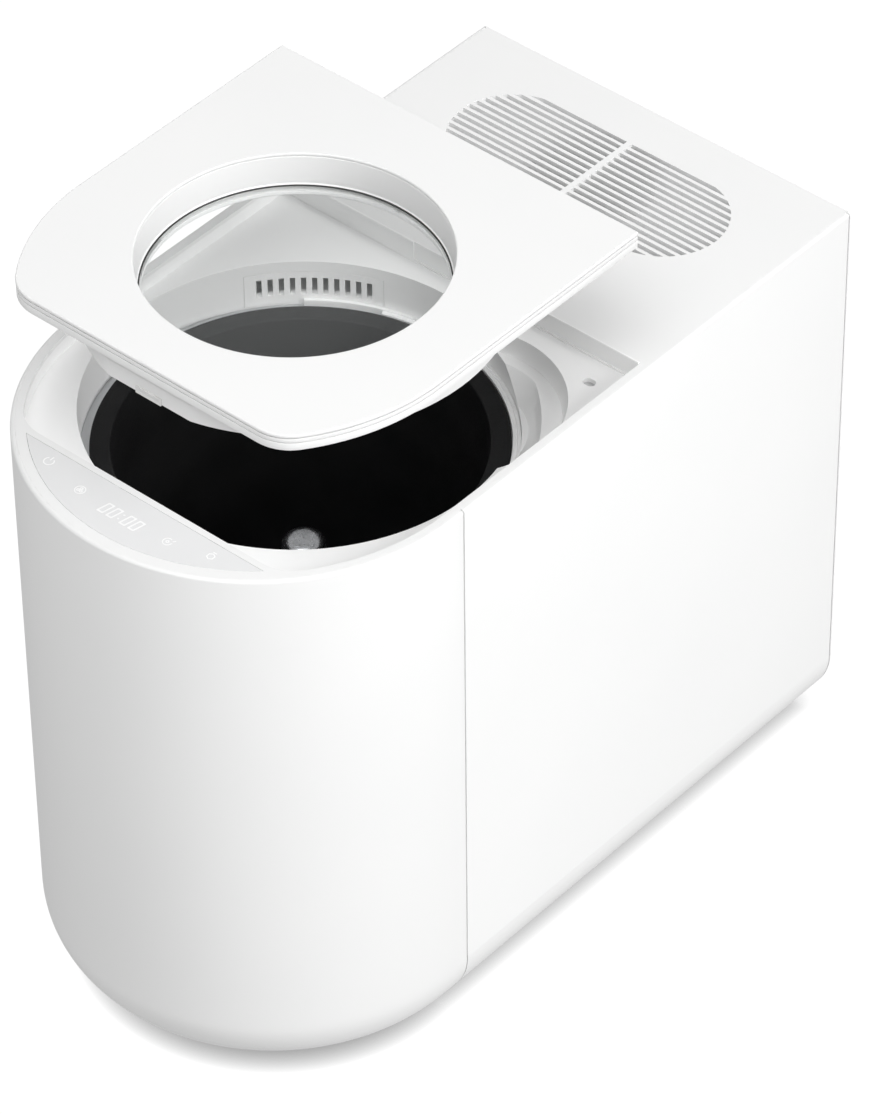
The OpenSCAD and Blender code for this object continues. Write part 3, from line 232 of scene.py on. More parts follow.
# The middle of a noise, spread over a new range
def spread(tree, noise, low, high):
    span = tree.nodes.new("ShaderNodeMapRange")
    span.inputs["From Min"].default_value = grainLook["low"]
    span.inputs["From Max"].default_value = grainLook["high"]
    span.inputs["To Min"].default_value = low
    span.inputs["To Max"].default_value = high
    tree.links.new(noise.outputs["Fac"], span.inputs["Value"])
    return span.outputs["Result"]


# Moulded plastic, rubber and coated metal: two near tones, uneven gloss and a fine grain
def grainedFinish(name, look):
    look = {**plainLook, **look}
    material, tree, shader, where = blankMaterial(name)
    tone, otherTone = look["tones"]
    broad = noiseNode(tree, where, look["mottle"])
    mix = tree.nodes.new("ShaderNodeMix")
    mix.data_type = "RGBA"
    mix.inputs[6].default_value = (*tone, 1)  # first colour
    mix.inputs[7].default_value = (*otherTone, 1)  # second colour
    tree.links.new(spread(tree, broad, 0, 1), mix.inputs[0])  # share of the second
    tree.links.new(mix.outputs[2], shader.inputs["Base Color"])  # mixed colour
    fine = noiseNode(tree, where, look["grain"], grainLook["fineDetail"], look["stretch"])
    tree.links.new(spread(tree, fine, *look["roughness"]), shader.inputs["Roughness"])
    bump = tree.nodes.new("ShaderNodeBump")
    bump.inputs["Distance"].default_value = look["depth"]
    bump.inputs["Strength"].default_value = grainLook["bumpStrength"]
    tree.links.new(fine.outputs["Fac"], bump.inputs["Height"])
    tree.links.new(bump.outputs["Normal"], shader.inputs["Normal"])
    shader.inputs["Metallic"].default_value = look["metallic"]
    shader.inputs["Specular IOR Level"].default_value = look["specular"]
    shader.inputs["Coat Weight"].default_value = look["coat"]
    return material


glassLook = {
    "haze": 12, "roughness": (0.01, 0.03), "rim": 0.04,
    "tint": (0.93, 0.96, 0.955), "through": (0.993, 0.996, 0.995),
}


# Flat glass: nearly all light goes straight through, and the rest is a sharp reflection
def windowGlassFinish():
    material, tree, shader, where = blankMaterial("windowClear")
    haze = noiseNode(tree, where, glassLook["haze"])
    tree.links.new(spread(tree, haze, *glassLook["roughness"]), shader.inputs["Roughness"])
    shader.inputs["Base Color"].default_value = (*glassLook["tint"], 1)
    clear = tree.nodes.new("ShaderNodeBsdfTransparent")
    clear.inputs["Color"].default_value = (*glassLook["through"], 1)
    rim = tree.nodes.new("ShaderNodeLayerWeight")
    rim.inputs["Blend"].default_value = glassLook["rim"]
    mix = tree.nodes.new("ShaderNodeMixShader")
    tree.links.new(rim.outputs["Facing"], mix.inputs["Fac"])
    tree.links.new(clear.outputs["BSDF"], mix.inputs[1])
    tree.links.new(shader.outputs["BSDF"], mix.inputs[2])
    tree.links.new(mix.outputs["Shader"], tree.nodes["Material Output"].inputs["Surface"])
    return material


finishes = {name: grainedFinish(name, look) for name, look in looks.items()}
finishes["windowClear"] = windowGlassFinish()
print("materials made:", len(finishes))


# Small helpers for modelling

def restAll():
    if bpy.context.object and bpy.context.object.mode != "OBJECT":
        bpy.ops.object.mode_set(mode="OBJECT")
    bpy.ops.object.select_all(action="DESELECT")


def nameNew(name):
    piece = bpy.context.object
    piece.name = name
    piece.data.name = name
    return piece


def editNew(name):
    piece = nameNew(name)
    bpy.ops.object.mode_set(mode="EDIT")
    bpy.ops.mesh.select_all(action="DESELECT")
    return piece


# Picks edges or faces of the piece in edit mode; the test gets places in the shared frame
def pick(piece, kind, test):
    bpy.context.tool_settings.mesh_select_mode = (False, kind == "EDGE", kind == "FACE")
    mesh = bmesh.from_edit_mesh(piece.data)
    at = piece.matrix_world
    for part in (*mesh.verts, *mesh.edges, *mesh.faces):
        part.select = False
    if kind == "EDGE":
        picked = [e for e in mesh.edges if test(at @ e.verts[0].co, at @ e.verts[1].co, e)]
    else:
        picked = [f for f in mesh.faces if test(at @ f.calc_center_median(), f.normal)]
    for part in picked:
        part.select_set(True)
    mesh.select_flush_mode()
    bmesh.update_edit_mesh(piece.data)


def cleanMesh():
    bpy.ops.mesh.select_all(action="SELECT")
    bpy.ops.mesh.remove_doubles(threshold=near["weld"])
    bpy.ops.mesh.normals_make_consistent(inside=False)


def applyModifier(piece, kind, **settings):
    if piece.mode != "OBJECT":
        bpy.ops.object.mode_set(mode="OBJECT")
    modifier = piece.modifiers.new(kind.lower(), kind)
    for key, value in settings.items():
        setattr(modifier, key, value)
    bpy.ops.object.modifier_apply(modifier=modifier.name)


# Finished piece: at the origin, smooth by angle, with its material, its body and the nodes it stands for
def finishPiece(piece, rideOn, finish, stands=(), angle=30):
    if piece.mode != "OBJECT":
        bpy.ops.object.mode_set(mode="OBJECT")
    bpy.ops.object.select_all(action="DESELECT")
    piece.select_set(True)
    bpy.context.view_layer.objects.active = piece
    bpy.ops.object.transform_apply(location=True, rotation=True, scale=True)
    bpy.ops.object.shade_smooth_by_angle(angle=math.radians(angle))
    piece.data.materials.clear()
    piece.data.materials.append(finishes[finish])
    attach(piece, rideOn)
    if stands:
        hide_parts(*stands)
    piece.select_set(False)
    return piece


# A ring of edges is drawn out along a profile of (radius, height) steps, as on a lathe.
# The profile closes on itself, or both its ends get a flat cap.
def turnedPiece(name, centre, profile, segments, capped=False):
    restAll()
    r, z = profile[0]
    bpy.ops.mesh.primitive_circle_add(vertices=segments, radius=r, location=(centre[0], centre[1], z),
                                      fill_type="NGON" if capped else "NOTHING")
    piece = editNew(name)
    bpy.context.tool_settings.mesh_select_mode = (False, True, False)
    bpy.ops.mesh.select_all(action="SELECT")
    steps = profile[1:] if capped else profile[1:] + [profile[0]]
    for nextR, nextZ in steps:
        bpy.ops.mesh.extrude_edges_move(TRANSFORM_OT_translate={"value": (0, 0, nextZ - z)})
        grow = nextR / r
        bpy.ops.transform.resize(value=(grow, grow, 1), center_override=(centre[0], centre[1], nextZ))
        r, z = nextR, nextZ
    if capped:
        bpy.ops.mesh.edge_face_add()
    cleanMesh()
    bpy.ops.object.mode_set(mode="OBJECT")
    return piece


# Points of a quarter round or another arc, as (radius, height) steps
def roundCorner(r0, z0, radius, a0, a1, steps=6):
    angles = [math.radians(a0 + (a1 - a0) * k / steps) for k in range(steps + 1)]
    return [(r0 + radius * math.cos(angle), z0 + radius * math.sin(angle)) for angle in angles]


def joinPieces(name, pieces):
    restAll()
    for piece in pieces:
        piece.select_set(True)
    bpy.context.view_layer.objects.active = pieces[0]
    bpy.ops.object.join()
    return nameNew(name)


# A new object on a merged copy of a CAD node's mesh, left in edit mode
def copyOfNode(name, node):
    restAll()
    piece = bpy.data.objects.new(name, nodes[node].data.copy())
    piece.data.name = name
    piece.data.materials.clear()
    bpy.context.collection.objects.link(piece)
    piece.select_set(True)
    bpy.context.view_layer.objects.active = piece
    bpy.ops.object.mode_set(mode="EDIT")
    bpy.ops.mesh.select_all(action="SELECT")
    bpy.ops.mesh.remove_doubles(threshold=near["weld"])
    return piece


# Front shell, drawn from half a cylinder

shellEdges = {
    "segments": 256, "filletSteps": 20, "topSteps": 5, "seamSteps": 2, "seamRound": 0.0004,
    "rimEdgeMax": 0.05,
}


def outerSide(p):
    if p.y < body["noseY"]:
        return math.hypot(p.x, p.y - body["noseY"]) > body["halfWidth"] - near["skin"]
    return abs(p.x) > body["halfWidth"] - near["skin"]


# Wall thickness, a round along the top and a small round along each open end
def finishShell(shell, ends):
    thick = body["wall"] + body["deckFit"]
    applyModifier(shell, "SOLIDIFY", thickness=thick, offset=-1, use_even_offset=True)
    bpy.ops.object.mode_set(mode="EDIT")
    top = body["topZ"] - near["hair"]
    straightFrom = body["underZ"] + body["footFillet"] - near["loose"]

    def onTop(a, b, e):
        return min(a.z, b.z) > top and outerSide(a) and outerSide(b)

    def onEnd(a, b, e):
        atEnd = any(abs(a.y - y) < near["hair"] and abs(b.y - y) < near["hair"] for y in ends)
        return atEnd and outerSide(a) and outerSide(b) and min(a.z, b.z) > straightFrom

    pick(shell, "EDGE", onTop)
    bpy.ops.mesh.bevel(offset=body["edgeRound"], segments=shellEdges["topSteps"], affect="EDGES")
    pick(shell, "EDGE", onEnd)
    bpy.ops.mesh.bevel(offset=shellEdges["seamRound"], segments=shellEdges["seamSteps"], affect="EDGES")
    bpy.ops.object.mode_set(mode="OBJECT")


def filletFoot():
    bpy.ops.mesh.bevel(offset=body["footFillet"], segments=shellEdges["filletSteps"], affect="EDGES",
                       clamp_overlap=False)


def makeFrontShell():
    restAll()
    under, tall = body["underZ"], body["topZ"] - body["underZ"]
    middle = (0, body["noseY"], under + tall / 2)
    bpy.ops.mesh.primitive_cylinder_add(vertices=shellEdges["segments"], radius=body["halfWidth"],
                                        depth=tall, location=middle, end_fill_type="NGON")
    shell = editNew("frontShell")
    bpy.ops.mesh.select_all(action="SELECT")
    bpy.ops.mesh.bisect(plane_co=(0, body["noseY"], 0), plane_no=(0, 1, 0), clear_outer=True)
    pick(shell, "EDGE", lambda a, b, e: e.is_boundary)
    endY = body["seamY"] - body["seamGap"] / 2
    bpy.ops.mesh.extrude_edges_move(TRANSFORM_OT_translate={"value": (0, endY - body["noseY"], 0)})
    pick(shell, "EDGE", lambda a, b, e: not e.is_boundary and max(a.z, b.z) < under + near["fine"]
         and (a - b).length < shellEdges["rimEdgeMax"])
    filletFoot()
    pick(shell, "FACE", lambda c, n: n.z > facing["square"] and c.z > body["topZ"] - near["loose"])
    bpy.ops.mesh.delete(type="FACE")
    pick(shell, "FACE", lambda c, n: n.z < -facing["exact"] and c.z < under + near["fine"])
    bpy.ops.mesh.inset(thickness=body["flange"], use_boundary=False)
    bpy.ops.mesh.delete(type="FACE")
    bpy.ops.object.mode_set(mode="OBJECT")
    finishShell(shell, [endY])
    finishPiece(shell, "body", "shellWhite", ["front_shell"])


# Side panels, drawn from a box with only its outer and lower faces left

def makeSidePanel(side, name, node):
    restAll()
    under, top = body["underZ"], body["topZ"]
    startY = body["seamY"] + body["seamGap"] / 2
    innerX = body["halfWidth"] - body["footFillet"] - body["flange"]
    size = (body["halfWidth"] - innerX, body["backY"] - startY, top - under)
    middle = (side * (innerX + size[0] / 2), startY + size[1] / 2, under + size[2] / 2)
    bpy.ops.mesh.primitive_cube_add(size=1, location=middle, scale=size)
    panel = editNew(name)
    square = facing["square"]
    pick(panel, "FACE", lambda c, n: n.z > square or abs(n.y) > square or n.x * side < -square)
    bpy.ops.mesh.delete(type="FACE")
    pick(panel, "EDGE", lambda a, b, e: not e.is_boundary)
    filletFoot()
    trimY = body["backY"] - body["backTrim"]
    gapY = trimY - body["backGap"]
    for y in (gapY, trimY):
        bpy.ops.mesh.select_all(action="SELECT")
        bpy.ops.mesh.bisect(plane_co=(0, y, 0), plane_no=(0, 1, 0))
    pick(panel, "FACE", lambda c, n: gapY < c.y < trimY)  # a fine line near the back edge
    bpy.ops.mesh.delete(type="FACE")
    bpy.ops.object.mode_set(mode="OBJECT")
    finishShell(panel, [startY, gapY])
    finishPiece(panel, "body", "shellWhite", [node])


makeFrontShell()
makeSidePanel(1, "rightSidePanel", "right_side_panel")
makeSidePanel(-1, "leftSidePanel", "left_side_panel")
print("outer shells made")


# Bucket, turned from one profile

bucket = {
    "rimZ": 0.386, "rimR": 0.115, "flangeR": 0.128, "flangeT": 0.004, "floorZ": 0.117, "floorR": 0.110,
    "round": 0.014, "wall": 0.003, "lipRound": 0.0016, "edgeRound": 0.0015, "segments": 180,
    "bossR": 0.020, "bossH": 0.020, "bossFoot": 0.0037, "bossLean": 0.0005, "bossEdge": 0.001,
    "sealR": 0.014, "sealDeep": 0.007, "boreR": 0.0085,
}


def makeBucket():
    b = bucket
    rim, floor, wall = b["rimZ"], b["floorZ"], b["wall"]
    roundR, roundZ = b["floorR"] - b["round"], floor + b["round"]
    innerRound = roundCorner(roundR, roundZ, b["round"], 0, -90, steps=8)
    outerRound = roundCorner(roundR, roundZ, b["round"] + wall, -90, 0, steps=8)
    lip = roundCorner(b["rimR"] + b["lipRound"], rim - b["lipRound"], b["lipRound"], 90, 180, steps=4)
    edge = roundCorner(b["flangeR"] - b["edgeRound"], rim - b["edgeRound"], b["edgeRound"], 0, 90, steps=4)
    bossTop = floor + b["bossH"]
    boss = [
        (b["bossR"] + b["bossFoot"], floor),
        (b["bossR"] + b["bossLean"], bossTop - b["bossEdge"]),
        (b["bossR"] - b["bossLean"], bossTop),
        (b["sealR"], bossTop),
        (b["sealR"], bossTop - b["sealDeep"]),
        (b["boreR"], bossTop - b["sealDeep"]),
        (b["boreR"], floor - wall),
    ]
    flangeLow = rim - b["flangeT"]
    profile = [(b["flangeR"], flangeLow)] + edge + lip + innerRound + boss + outerRound
    profile += [(b["rimR"] + wall, flangeLow)]
    piece = turnedPiece("bucketLiner", (0, body["bucketY"]), profile, b["segments"])
    finishPiece(piece, "body", "bucketBlack", ["bucket"])


makeBucket()


# Stirrer: hub, two sweeping arms and three mixing arms, joined to one piece

# A blade's root and tip are (thickness, height), and a mixing arm is (height, direction, reach)
stirrer = {
    "hubR": 0.014, "hubLow": 0.139, "hubTop": 0.307, "hubEdge": 0.001, "tipRound": 0.007, "tipStart": 0.008,
    "poleR": 0.0004, "shaftR": 0.0082, "shaftTop": 0.1942, "hubSegments": 64, "smoothAngle": 40,
    "rodR": 0.007, "rodSegments": 32, "rodStub": 0.001, "rodShares": (0.15, 0.5, 1.0),
    "bladeRound": 0.0011, "bladeSteps": 3,
    "sweepAngles": (0, 180), "sweepRodSunk": 0.004, "sweepRodEnd": 0.037, "sweepRodEndR": 0.006,
    "sweepRodRise": (0.010, 0.004), "sweepBlade": (0.033, 0.100), "sweepBladeRise": (0.019, 0.023),
    "sweepRoot": (0.005, 0.026), "sweepTip": (0.004, 0.030), "sweepTilt": 28,
    "mixArms": ((0.199, 90, 0.086), (0.239, 215, 0.084), (0.279, 330, 0.082)),
    "mixRodSunk": 0.003, "mixRodEndR": 0.005, "mixBlade": 0.036,
    "mixRoot": (0.005, 0.028), "mixTip": (0.003, 0.040), "mixTilt": 20,
}


# A rod along X whose end ring is drawn in
def stirrerRod(x0, x1, z0, z1, r0, r1):
    restAll()
    bpy.ops.mesh.primitive_cylinder_add(vertices=stirrer["rodSegments"], radius=r0,
                                        depth=stirrer["rodStub"], location=(x0, body["bucketY"], z0),
                                        rotation=(0, math.pi / 2, 0))
    rod = editNew("stirrerRod")
    pick(rod, "FACE", lambda c, n: c.x > x0)
    done = 0
    for share in stirrer["rodShares"]:
        step = (x1 - x0) * (share - done)
        rise = (z1 - z0) * step / (x1 - x0)
        bpy.ops.mesh.extrude_region_move(TRANSFORM_OT_translate={"value": (step, 0, rise)})
        grow = (r1 / r0) ** (step / (x1 - x0))
        bpy.ops.transform.resize(value=(1, grow, grow))
        done = share
    bpy.ops.object.mode_set(mode="OBJECT")
    return rod


# A blade from a box: its outer end is drawn taller and thinner and all its edges are rounded
def stirrerBlade(x0, x1, z0, z1, root, tip, tilt):
    restAll()
    y = body["bucketY"]
    bpy.ops.mesh.primitive_cube_add(size=1, location=((x0 + x1) / 2, y, z0), scale=(x1 - x0, *root))
    bpy.ops.object.transform_apply(location=False, rotation=False, scale=True)
    blade = editNew("stirrerBlade")
    pick(blade, "FACE", lambda c, n: c.x > x1 - near["fine"])
    bpy.ops.transform.resize(value=(1, tip[0] / root[0], tip[1] / root[1]))
    bpy.ops.transform.translate(value=(0, 0, z1 - z0))
    bpy.ops.mesh.select_all(action="SELECT")
    bpy.ops.transform.rotate(value=-math.radians(tilt), orient_axis="X",
                             center_override=((x0 + x1) / 2, y, (z0 + z1) / 2))
    bpy.ops.mesh.bevel(offset=stirrer["bladeRound"], segments=stirrer["bladeSteps"], affect="EDGES")
    bpy.ops.object.mode_set(mode="OBJECT")
    return blade


def turnAboutShaft(piece, angle):
    turn = Matrix.Rotation(math.radians(angle), 4, "Z")
    axis = Matrix.Translation((0, body["bucketY"], 0))
    piece.matrix_world = axis @ turn @ axis.inverted() @ piece.matrix_world
    return piece


def stirrerHub():
    s = stirrer
    profile = [
        (s["shaftR"], s["hubLow"]),
        (s["hubR"] - s["hubEdge"], s["hubLow"]),
        (s["hubR"], s["hubLow"] + s["hubEdge"]),
        (s["hubR"], s["hubTop"] - s["tipStart"]),
    ]
    profile += roundCorner(s["hubR"] - s["tipRound"], s["hubTop"] - s["tipRound"], s["tipRound"], 15, 90)
    profile += [
        (s["poleR"], s["hubTop"]),
        (s["poleR"], s["shaftTop"]),
        (s["shaftR"], s["shaftTop"]),
    ]
    return turnedPiece("stirrerHub", (0, body["bucketY"]), profile, s["hubSegments"])


def sweepArm():
    s = stirrer
    z0, z1 = (s["hubLow"] + rise for rise in s["sweepRodRise"])
    rod = stirrerRod(s["hubR"] - s["sweepRodSunk"], s["sweepRodEnd"], z0, z1, s["rodR"], s["sweepRodEndR"])
    z0, z1 = (bucket["floorZ"] + rise for rise in s["sweepBladeRise"])
    blade = stirrerBlade(*s["sweepBlade"], z0, z1, s["sweepRoot"], s["sweepTip"], s["sweepTilt"])
    return [rod, blade]


def mixArm(z, reach):
    s = stirrer
    rod = stirrerRod(s["hubR"] - s["mixRodSunk"], reach, z, z, s["rodR"], s["mixRodEndR"])
    blade = stirrerBlade(reach - s["mixBlade"], reach, z, z, s["mixRoot"], s["mixTip"], s["mixTilt"])
    return [rod, blade]


def makeStirrer():
    parts = [stirrerHub()]
    for angle in stirrer["sweepAngles"]:
        parts += [turnAboutShaft(part, angle) for part in sweepArm()]
    for z, angle, reach in stirrer["mixArms"]:
        parts += [turnAboutShaft(part, angle) for part in mixArm(z, reach)]
    piece = joinPieces("stirrerArms", parts)
    finishPiece(piece, "stirrer", "brushedSteel", ["agitator"], stirrer["smoothAngle"])


makeStirrer()
print("bucket and stirrer made")


# Window in the lid: well, gasket, glass and the ring that holds it, turned about the bucket's axis

# Heights are those of the closed lid, and lift raises them to the lid's place at rest
window = {
    "topZ": 0.4255, "glassZ": 0.4015, "glassT": 0.003, "gasketT": 0.001, "lift": 0.103, "segments": 192,
    "topR": 0.0955, "lowR": 0.0935, "wall": 0.002, "outR": 0.0955, "poleR": 0.0005,
    "wellEdge": 0.0004, "wellToe": 0.0008, "wellToeH": 0.0026, "wellRound": 0.0008, "wellRoundH": 0.0010,
    "wellFit": 0.0002, "outFit": 0.0001, "gasketRound": 0.0005, "glassEdge": 0.0004,
    "ringR": 0.0973, "ringInR": 0.0925, "ringEdge": 0.0003, "ringRound": 0.0012, "ringFit": 0.0002,
    "plugZ": 0.398,
}


def makeWindow():
    w = window
    outR, lowR, glassZ, plugZ = w["outR"] - w["outFit"], w["lowR"], w["glassZ"], w["plugZ"]
    gasketZ = glassZ + w["glassT"]
    wellZ = gasketZ + w["gasketT"]

    def turned(name, profile, finish, node, capped=False):
        raised = [(r, z + w["lift"]) for r, z in profile]
        piece = turnedPiece(name, (0, body["bucketY"]), raised, w["segments"], capped)
        finishPiece(piece, "lid", finish, [node])

    well = [
        (w["topR"] + w["wall"], wellZ),
        (w["topR"] + w["wall"], w["topZ"]),
        (w["topR"] + w["wellEdge"], w["topZ"]),
        (w["topR"], w["topZ"] - w["wellEdge"]),
        (lowR + w["wellToe"], wellZ + w["wellToeH"]),
    ]
    well += roundCorner(lowR + w["wellFit"], wellZ + w["wellRoundH"], w["wellRound"], 30, -60, steps=4)
    well += [(lowR + w["wellFit"], wellZ)]
    turned("windowWell", well, "shellWhite", "window_bezel")

    gasket = [(outR, gasketZ), (outR, wellZ)]
    gasket += roundCorner(lowR - w["wellFit"], gasketZ + w["gasketRound"], w["gasketRound"], 90, 270)
    turned("windowGasket", gasket, "gasketBlack", "window_gasket")

    glass = [
        (w["poleR"], glassZ),
        (outR - w["glassEdge"], glassZ),
        (outR, glassZ + w["glassEdge"]),
        (outR, gasketZ - w["glassEdge"]),
        (outR - w["glassEdge"], gasketZ),
        (w["poleR"], gasketZ),
    ]
    turned("windowGlass", glass, "windowClear", "window_glass", capped=True)

    ring = [
        (w["ringR"], plugZ + w["ringEdge"]),
        (w["ringR"], glassZ),
        (w["ringInR"] + w["ringFit"], glassZ),
    ]
    ringRound = w["ringRound"]
    ring += roundCorner(w["ringInR"] + ringRound, plugZ + ringRound, ringRound, 180, 270, steps=5)
    ring += [(w["ringR"] - w["ringEdge"], plugZ)]
    turned("glassRing", ring, "trayWhitePaintedLight", "glass_ring")


makeWindow()
print("window made")


# Bands around the lid below its plate, with a fine line above each

lidBands = {
    "line": 0.0007, "middleTall": 0.0026, "lowTall": 0.0050, "drawnIn": 0.0003, "deep": 0.0017,
    "windowGap": 0.002, "round": 0.00015, "roundSteps": 2, "roundAngle": 40,
}


def makeLidBand(name, top, tall):
    low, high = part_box("lid_plate")
    innerR = window["topR"] + lidBands["windowGap"]
    band = copyOfNode(name, "lid_plate")
    pick(band, "FACE", lambda c, n: abs(n.z) > facing["half"]
         or math.hypot(c.x, c.y - body["bucketY"]) < innerR)
    bpy.ops.mesh.delete(type="FACE")
    bpy.ops.mesh.select_all(action="SELECT")
    bpy.ops.transform.resize(value=(1, 1, tall / (high[2] - low[2])), center_override=(0, 0, high[2]))
    bpy.ops.transform.translate(value=(0, 0, top - high[2]))
    bpy.ops.transform.shrink_fatten(value=-lidBands["drawnIn"], use_even_offset=True)
    applyModifier(band, "SOLIDIFY", thickness=lidBands["deep"], offset=-1, use_even_offset=True)
    applyModifier(band, "BEVEL", width=lidBands["round"], segments=lidBands["roundSteps"],
                  limit_method="ANGLE", angle_limit=math.radians(lidBands["roundAngle"]))
    finishPiece(band, "lid", "shellWhite")


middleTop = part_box("lid_plate")[0][2] - lidBands["line"]
makeLidBand("lidMiddleBand", middleTop, lidBands["middleTall"])
makeLidBand("lidLowBand", middleTop - lidBands["middleTall"] - lidBands["line"], lidBands["lowTall"])
print("lid bands made")


# Touch marks and time display, thin printed shapes on the panel

# A ring is (outer radius, inner radius), and a bar is (width, height)
marks = {
    "z": 0.4280, "thick": 0.00004, "barRound": 0.3, "barSteps": 3,
    "digitX": (-0.0126, -0.0055, 0.0050, 0.0121), "digitY": -0.2368, "digitW": 0.0050, "digitH": 0.0098,
    "stroke": 0.0011, "slant": 0.20, "digitRound": 0.0005, "digitSteps": 2,
    "dotX": -0.0003, "dotUp": 0.0022, "dotRing": (0.0007, 0.0002), "dotSegments": 16,
    "power": (-0.0672, -0.2280), "powerRing": (0.0036, 0.0028), "powerGap": 90, "powerSweep": 290,
    "powerBar": (0.0008, 0.0034), "powerBarUp": 0.0028,
    "fan": (-0.0353, -0.2348), "fanRing": (0.0037, 0.0030),
    "bladeRing": (0.0012, 0.0004), "bladeOut": 0.0013, "bladeAngles": (90, 210, 330), "bladeSegments": 20,
    "drop": (0.0352, -0.2352), "dropRing": (0.0033, 0.0026), "dropGap": 35, "dropSweep": 300,
    "dropBar": (0.0007, 0.0022), "dropBarAt": (0.0032, 0.0026), "dropBarTurn": -35,
    "seed": (0.0012, 0.0005), "seedSegments": 24,
    "pail": (0.0633, -0.2280), "pailRing": (0.0029, 0.0022), "pailDown": 0.0004, "pailSides": 6,
    "pailLid": (0.0030, 0.0007), "pailLidUp": 0.0033, "ringSegments": 48,
}


def flatRing(x, y, ring, segments=marks["ringSegments"], gapAt=0, sweep=360):
    restAll()
    outer, inner = ring
    bpy.ops.mesh.primitive_circle_add(vertices=segments, radius=outer, location=(x, y, marks["z"]),
                                      fill_type="NGON")
    piece = editNew("markRing")
    bpy.ops.mesh.select_all(action="SELECT")
    bpy.ops.mesh.inset(thickness=outer - inner)
    bpy.ops.mesh.delete(type="FACE")
    if sweep < 360:
        middle = math.radians(gapAt)
        half = math.radians(360 - sweep) / 2

        def inGap(c, n):
            away = math.atan2(c.y - y, c.x - x) - middle
            return abs((away + math.pi) % (2 * math.pi) - math.pi) < half

        pick(piece, "FACE", inGap)
        bpy.ops.mesh.delete(type="FACE")
    bpy.ops.object.mode_set(mode="OBJECT")
    return piece


# A flat plate at its place, left in edit mode with all of it selected
def flatPlate(name, x, y, wide, tall, turn=0):
    restAll()
    bpy.ops.mesh.primitive_plane_add(size=1, location=(x, y, marks["z"]),
                                     rotation=(0, 0, math.radians(turn)))
    plate = nameNew(name)
    plate.scale = (wide, tall, 1)
    bpy.ops.object.transform_apply(location=False, rotation=False, scale=True)
    bpy.ops.object.mode_set(mode="EDIT")
    bpy.ops.mesh.select_all(action="SELECT")
    return plate


def flatBar(x, y, bar, turn=0):
    piece = flatPlate("markBar", x, y, *bar, turn)
    rounding = min(bar) * marks["barRound"]
    bpy.ops.mesh.bevel(offset=rounding, segments=marks["barSteps"], affect="VERTICES")
    bpy.ops.object.mode_set(mode="OBJECT")
    return piece


def zeroDigit(x, y):
    digit = flatPlate("zeroDigit", x, y, marks["digitW"], marks["digitH"])
    bpy.ops.mesh.inset(thickness=marks["stroke"])
    bpy.ops.mesh.delete(type="FACE")
    bpy.ops.mesh.select_all(action="SELECT")
    bpy.ops.mesh.bevel(offset=marks["digitRound"], segments=marks["digitSteps"], affect="VERTICES")
    bpy.ops.object.mode_set(mode="OBJECT")
    digit.data.transform(Matrix(((1, marks["slant"], 0, 0), (0, 1, 0, 0), (0, 0, 1, 0), (0, 0, 0, 1))))
    return digit


def timeParts():
    y = marks["digitY"]
    parts = [zeroDigit(x, y) for x in marks["digitX"]]
    for up in (-marks["dotUp"], marks["dotUp"]):
        x = marks["dotX"] + marks["slant"] * up
        parts.append(flatRing(x, y + up, marks["dotRing"], marks["dotSegments"]))
    return parts


def powerParts():
    x, y = marks["power"]
    return [flatRing(x, y, marks["powerRing"], gapAt=marks["powerGap"], sweep=marks["powerSweep"]),
            flatBar(x, y + marks["powerBarUp"], marks["powerBar"])]


def fanParts():
    x, y = marks["fan"]
    parts = [flatRing(x, y, marks["fanRing"])]
    for angle in (math.radians(a) for a in marks["bladeAngles"]):
        bladeX = x + marks["bladeOut"] * math.cos(angle)
        bladeY = y + marks["bladeOut"] * math.sin(angle)
        parts.append(flatRing(bladeX, bladeY, marks["bladeRing"], marks["bladeSegments"]))
    return parts


def dropParts():
    x, y = marks["drop"]
    barX, barY = marks["dropBarAt"]
    return [flatRing(x, y, marks["dropRing"], gapAt=marks["dropGap"], sweep=marks["dropSweep"]),
            flatBar(x + barX, y + barY, marks["dropBar"], marks["dropBarTurn"]),
            flatRing(x, y, marks["seed"], marks["seedSegments"])]


def pailParts():
    x, y = marks["pail"]
    return [flatRing(x, y - marks["pailDown"], marks["pailRing"], marks["pailSides"]),
            flatBar(x, y + marks["pailLidUp"], marks["pailLid"])]


def makeMark(name, parts):
    mark = joinPieces(name, parts)
    applyModifier(mark, "SOLIDIFY", thickness=marks["thick"], offset=1)
    finishPiece(mark, "body", "markWhite")


makeMark("timeDigits", timeParts())
makeMark("powerMark", powerParts())
makeMark("fanMark", fanParts())
makeMark("dropMark", dropParts())
makeMark("pailMark", pailParts())
print("panel marks made")


# CAD nodes that keep their shape, each with its finish and the width of its softened edges

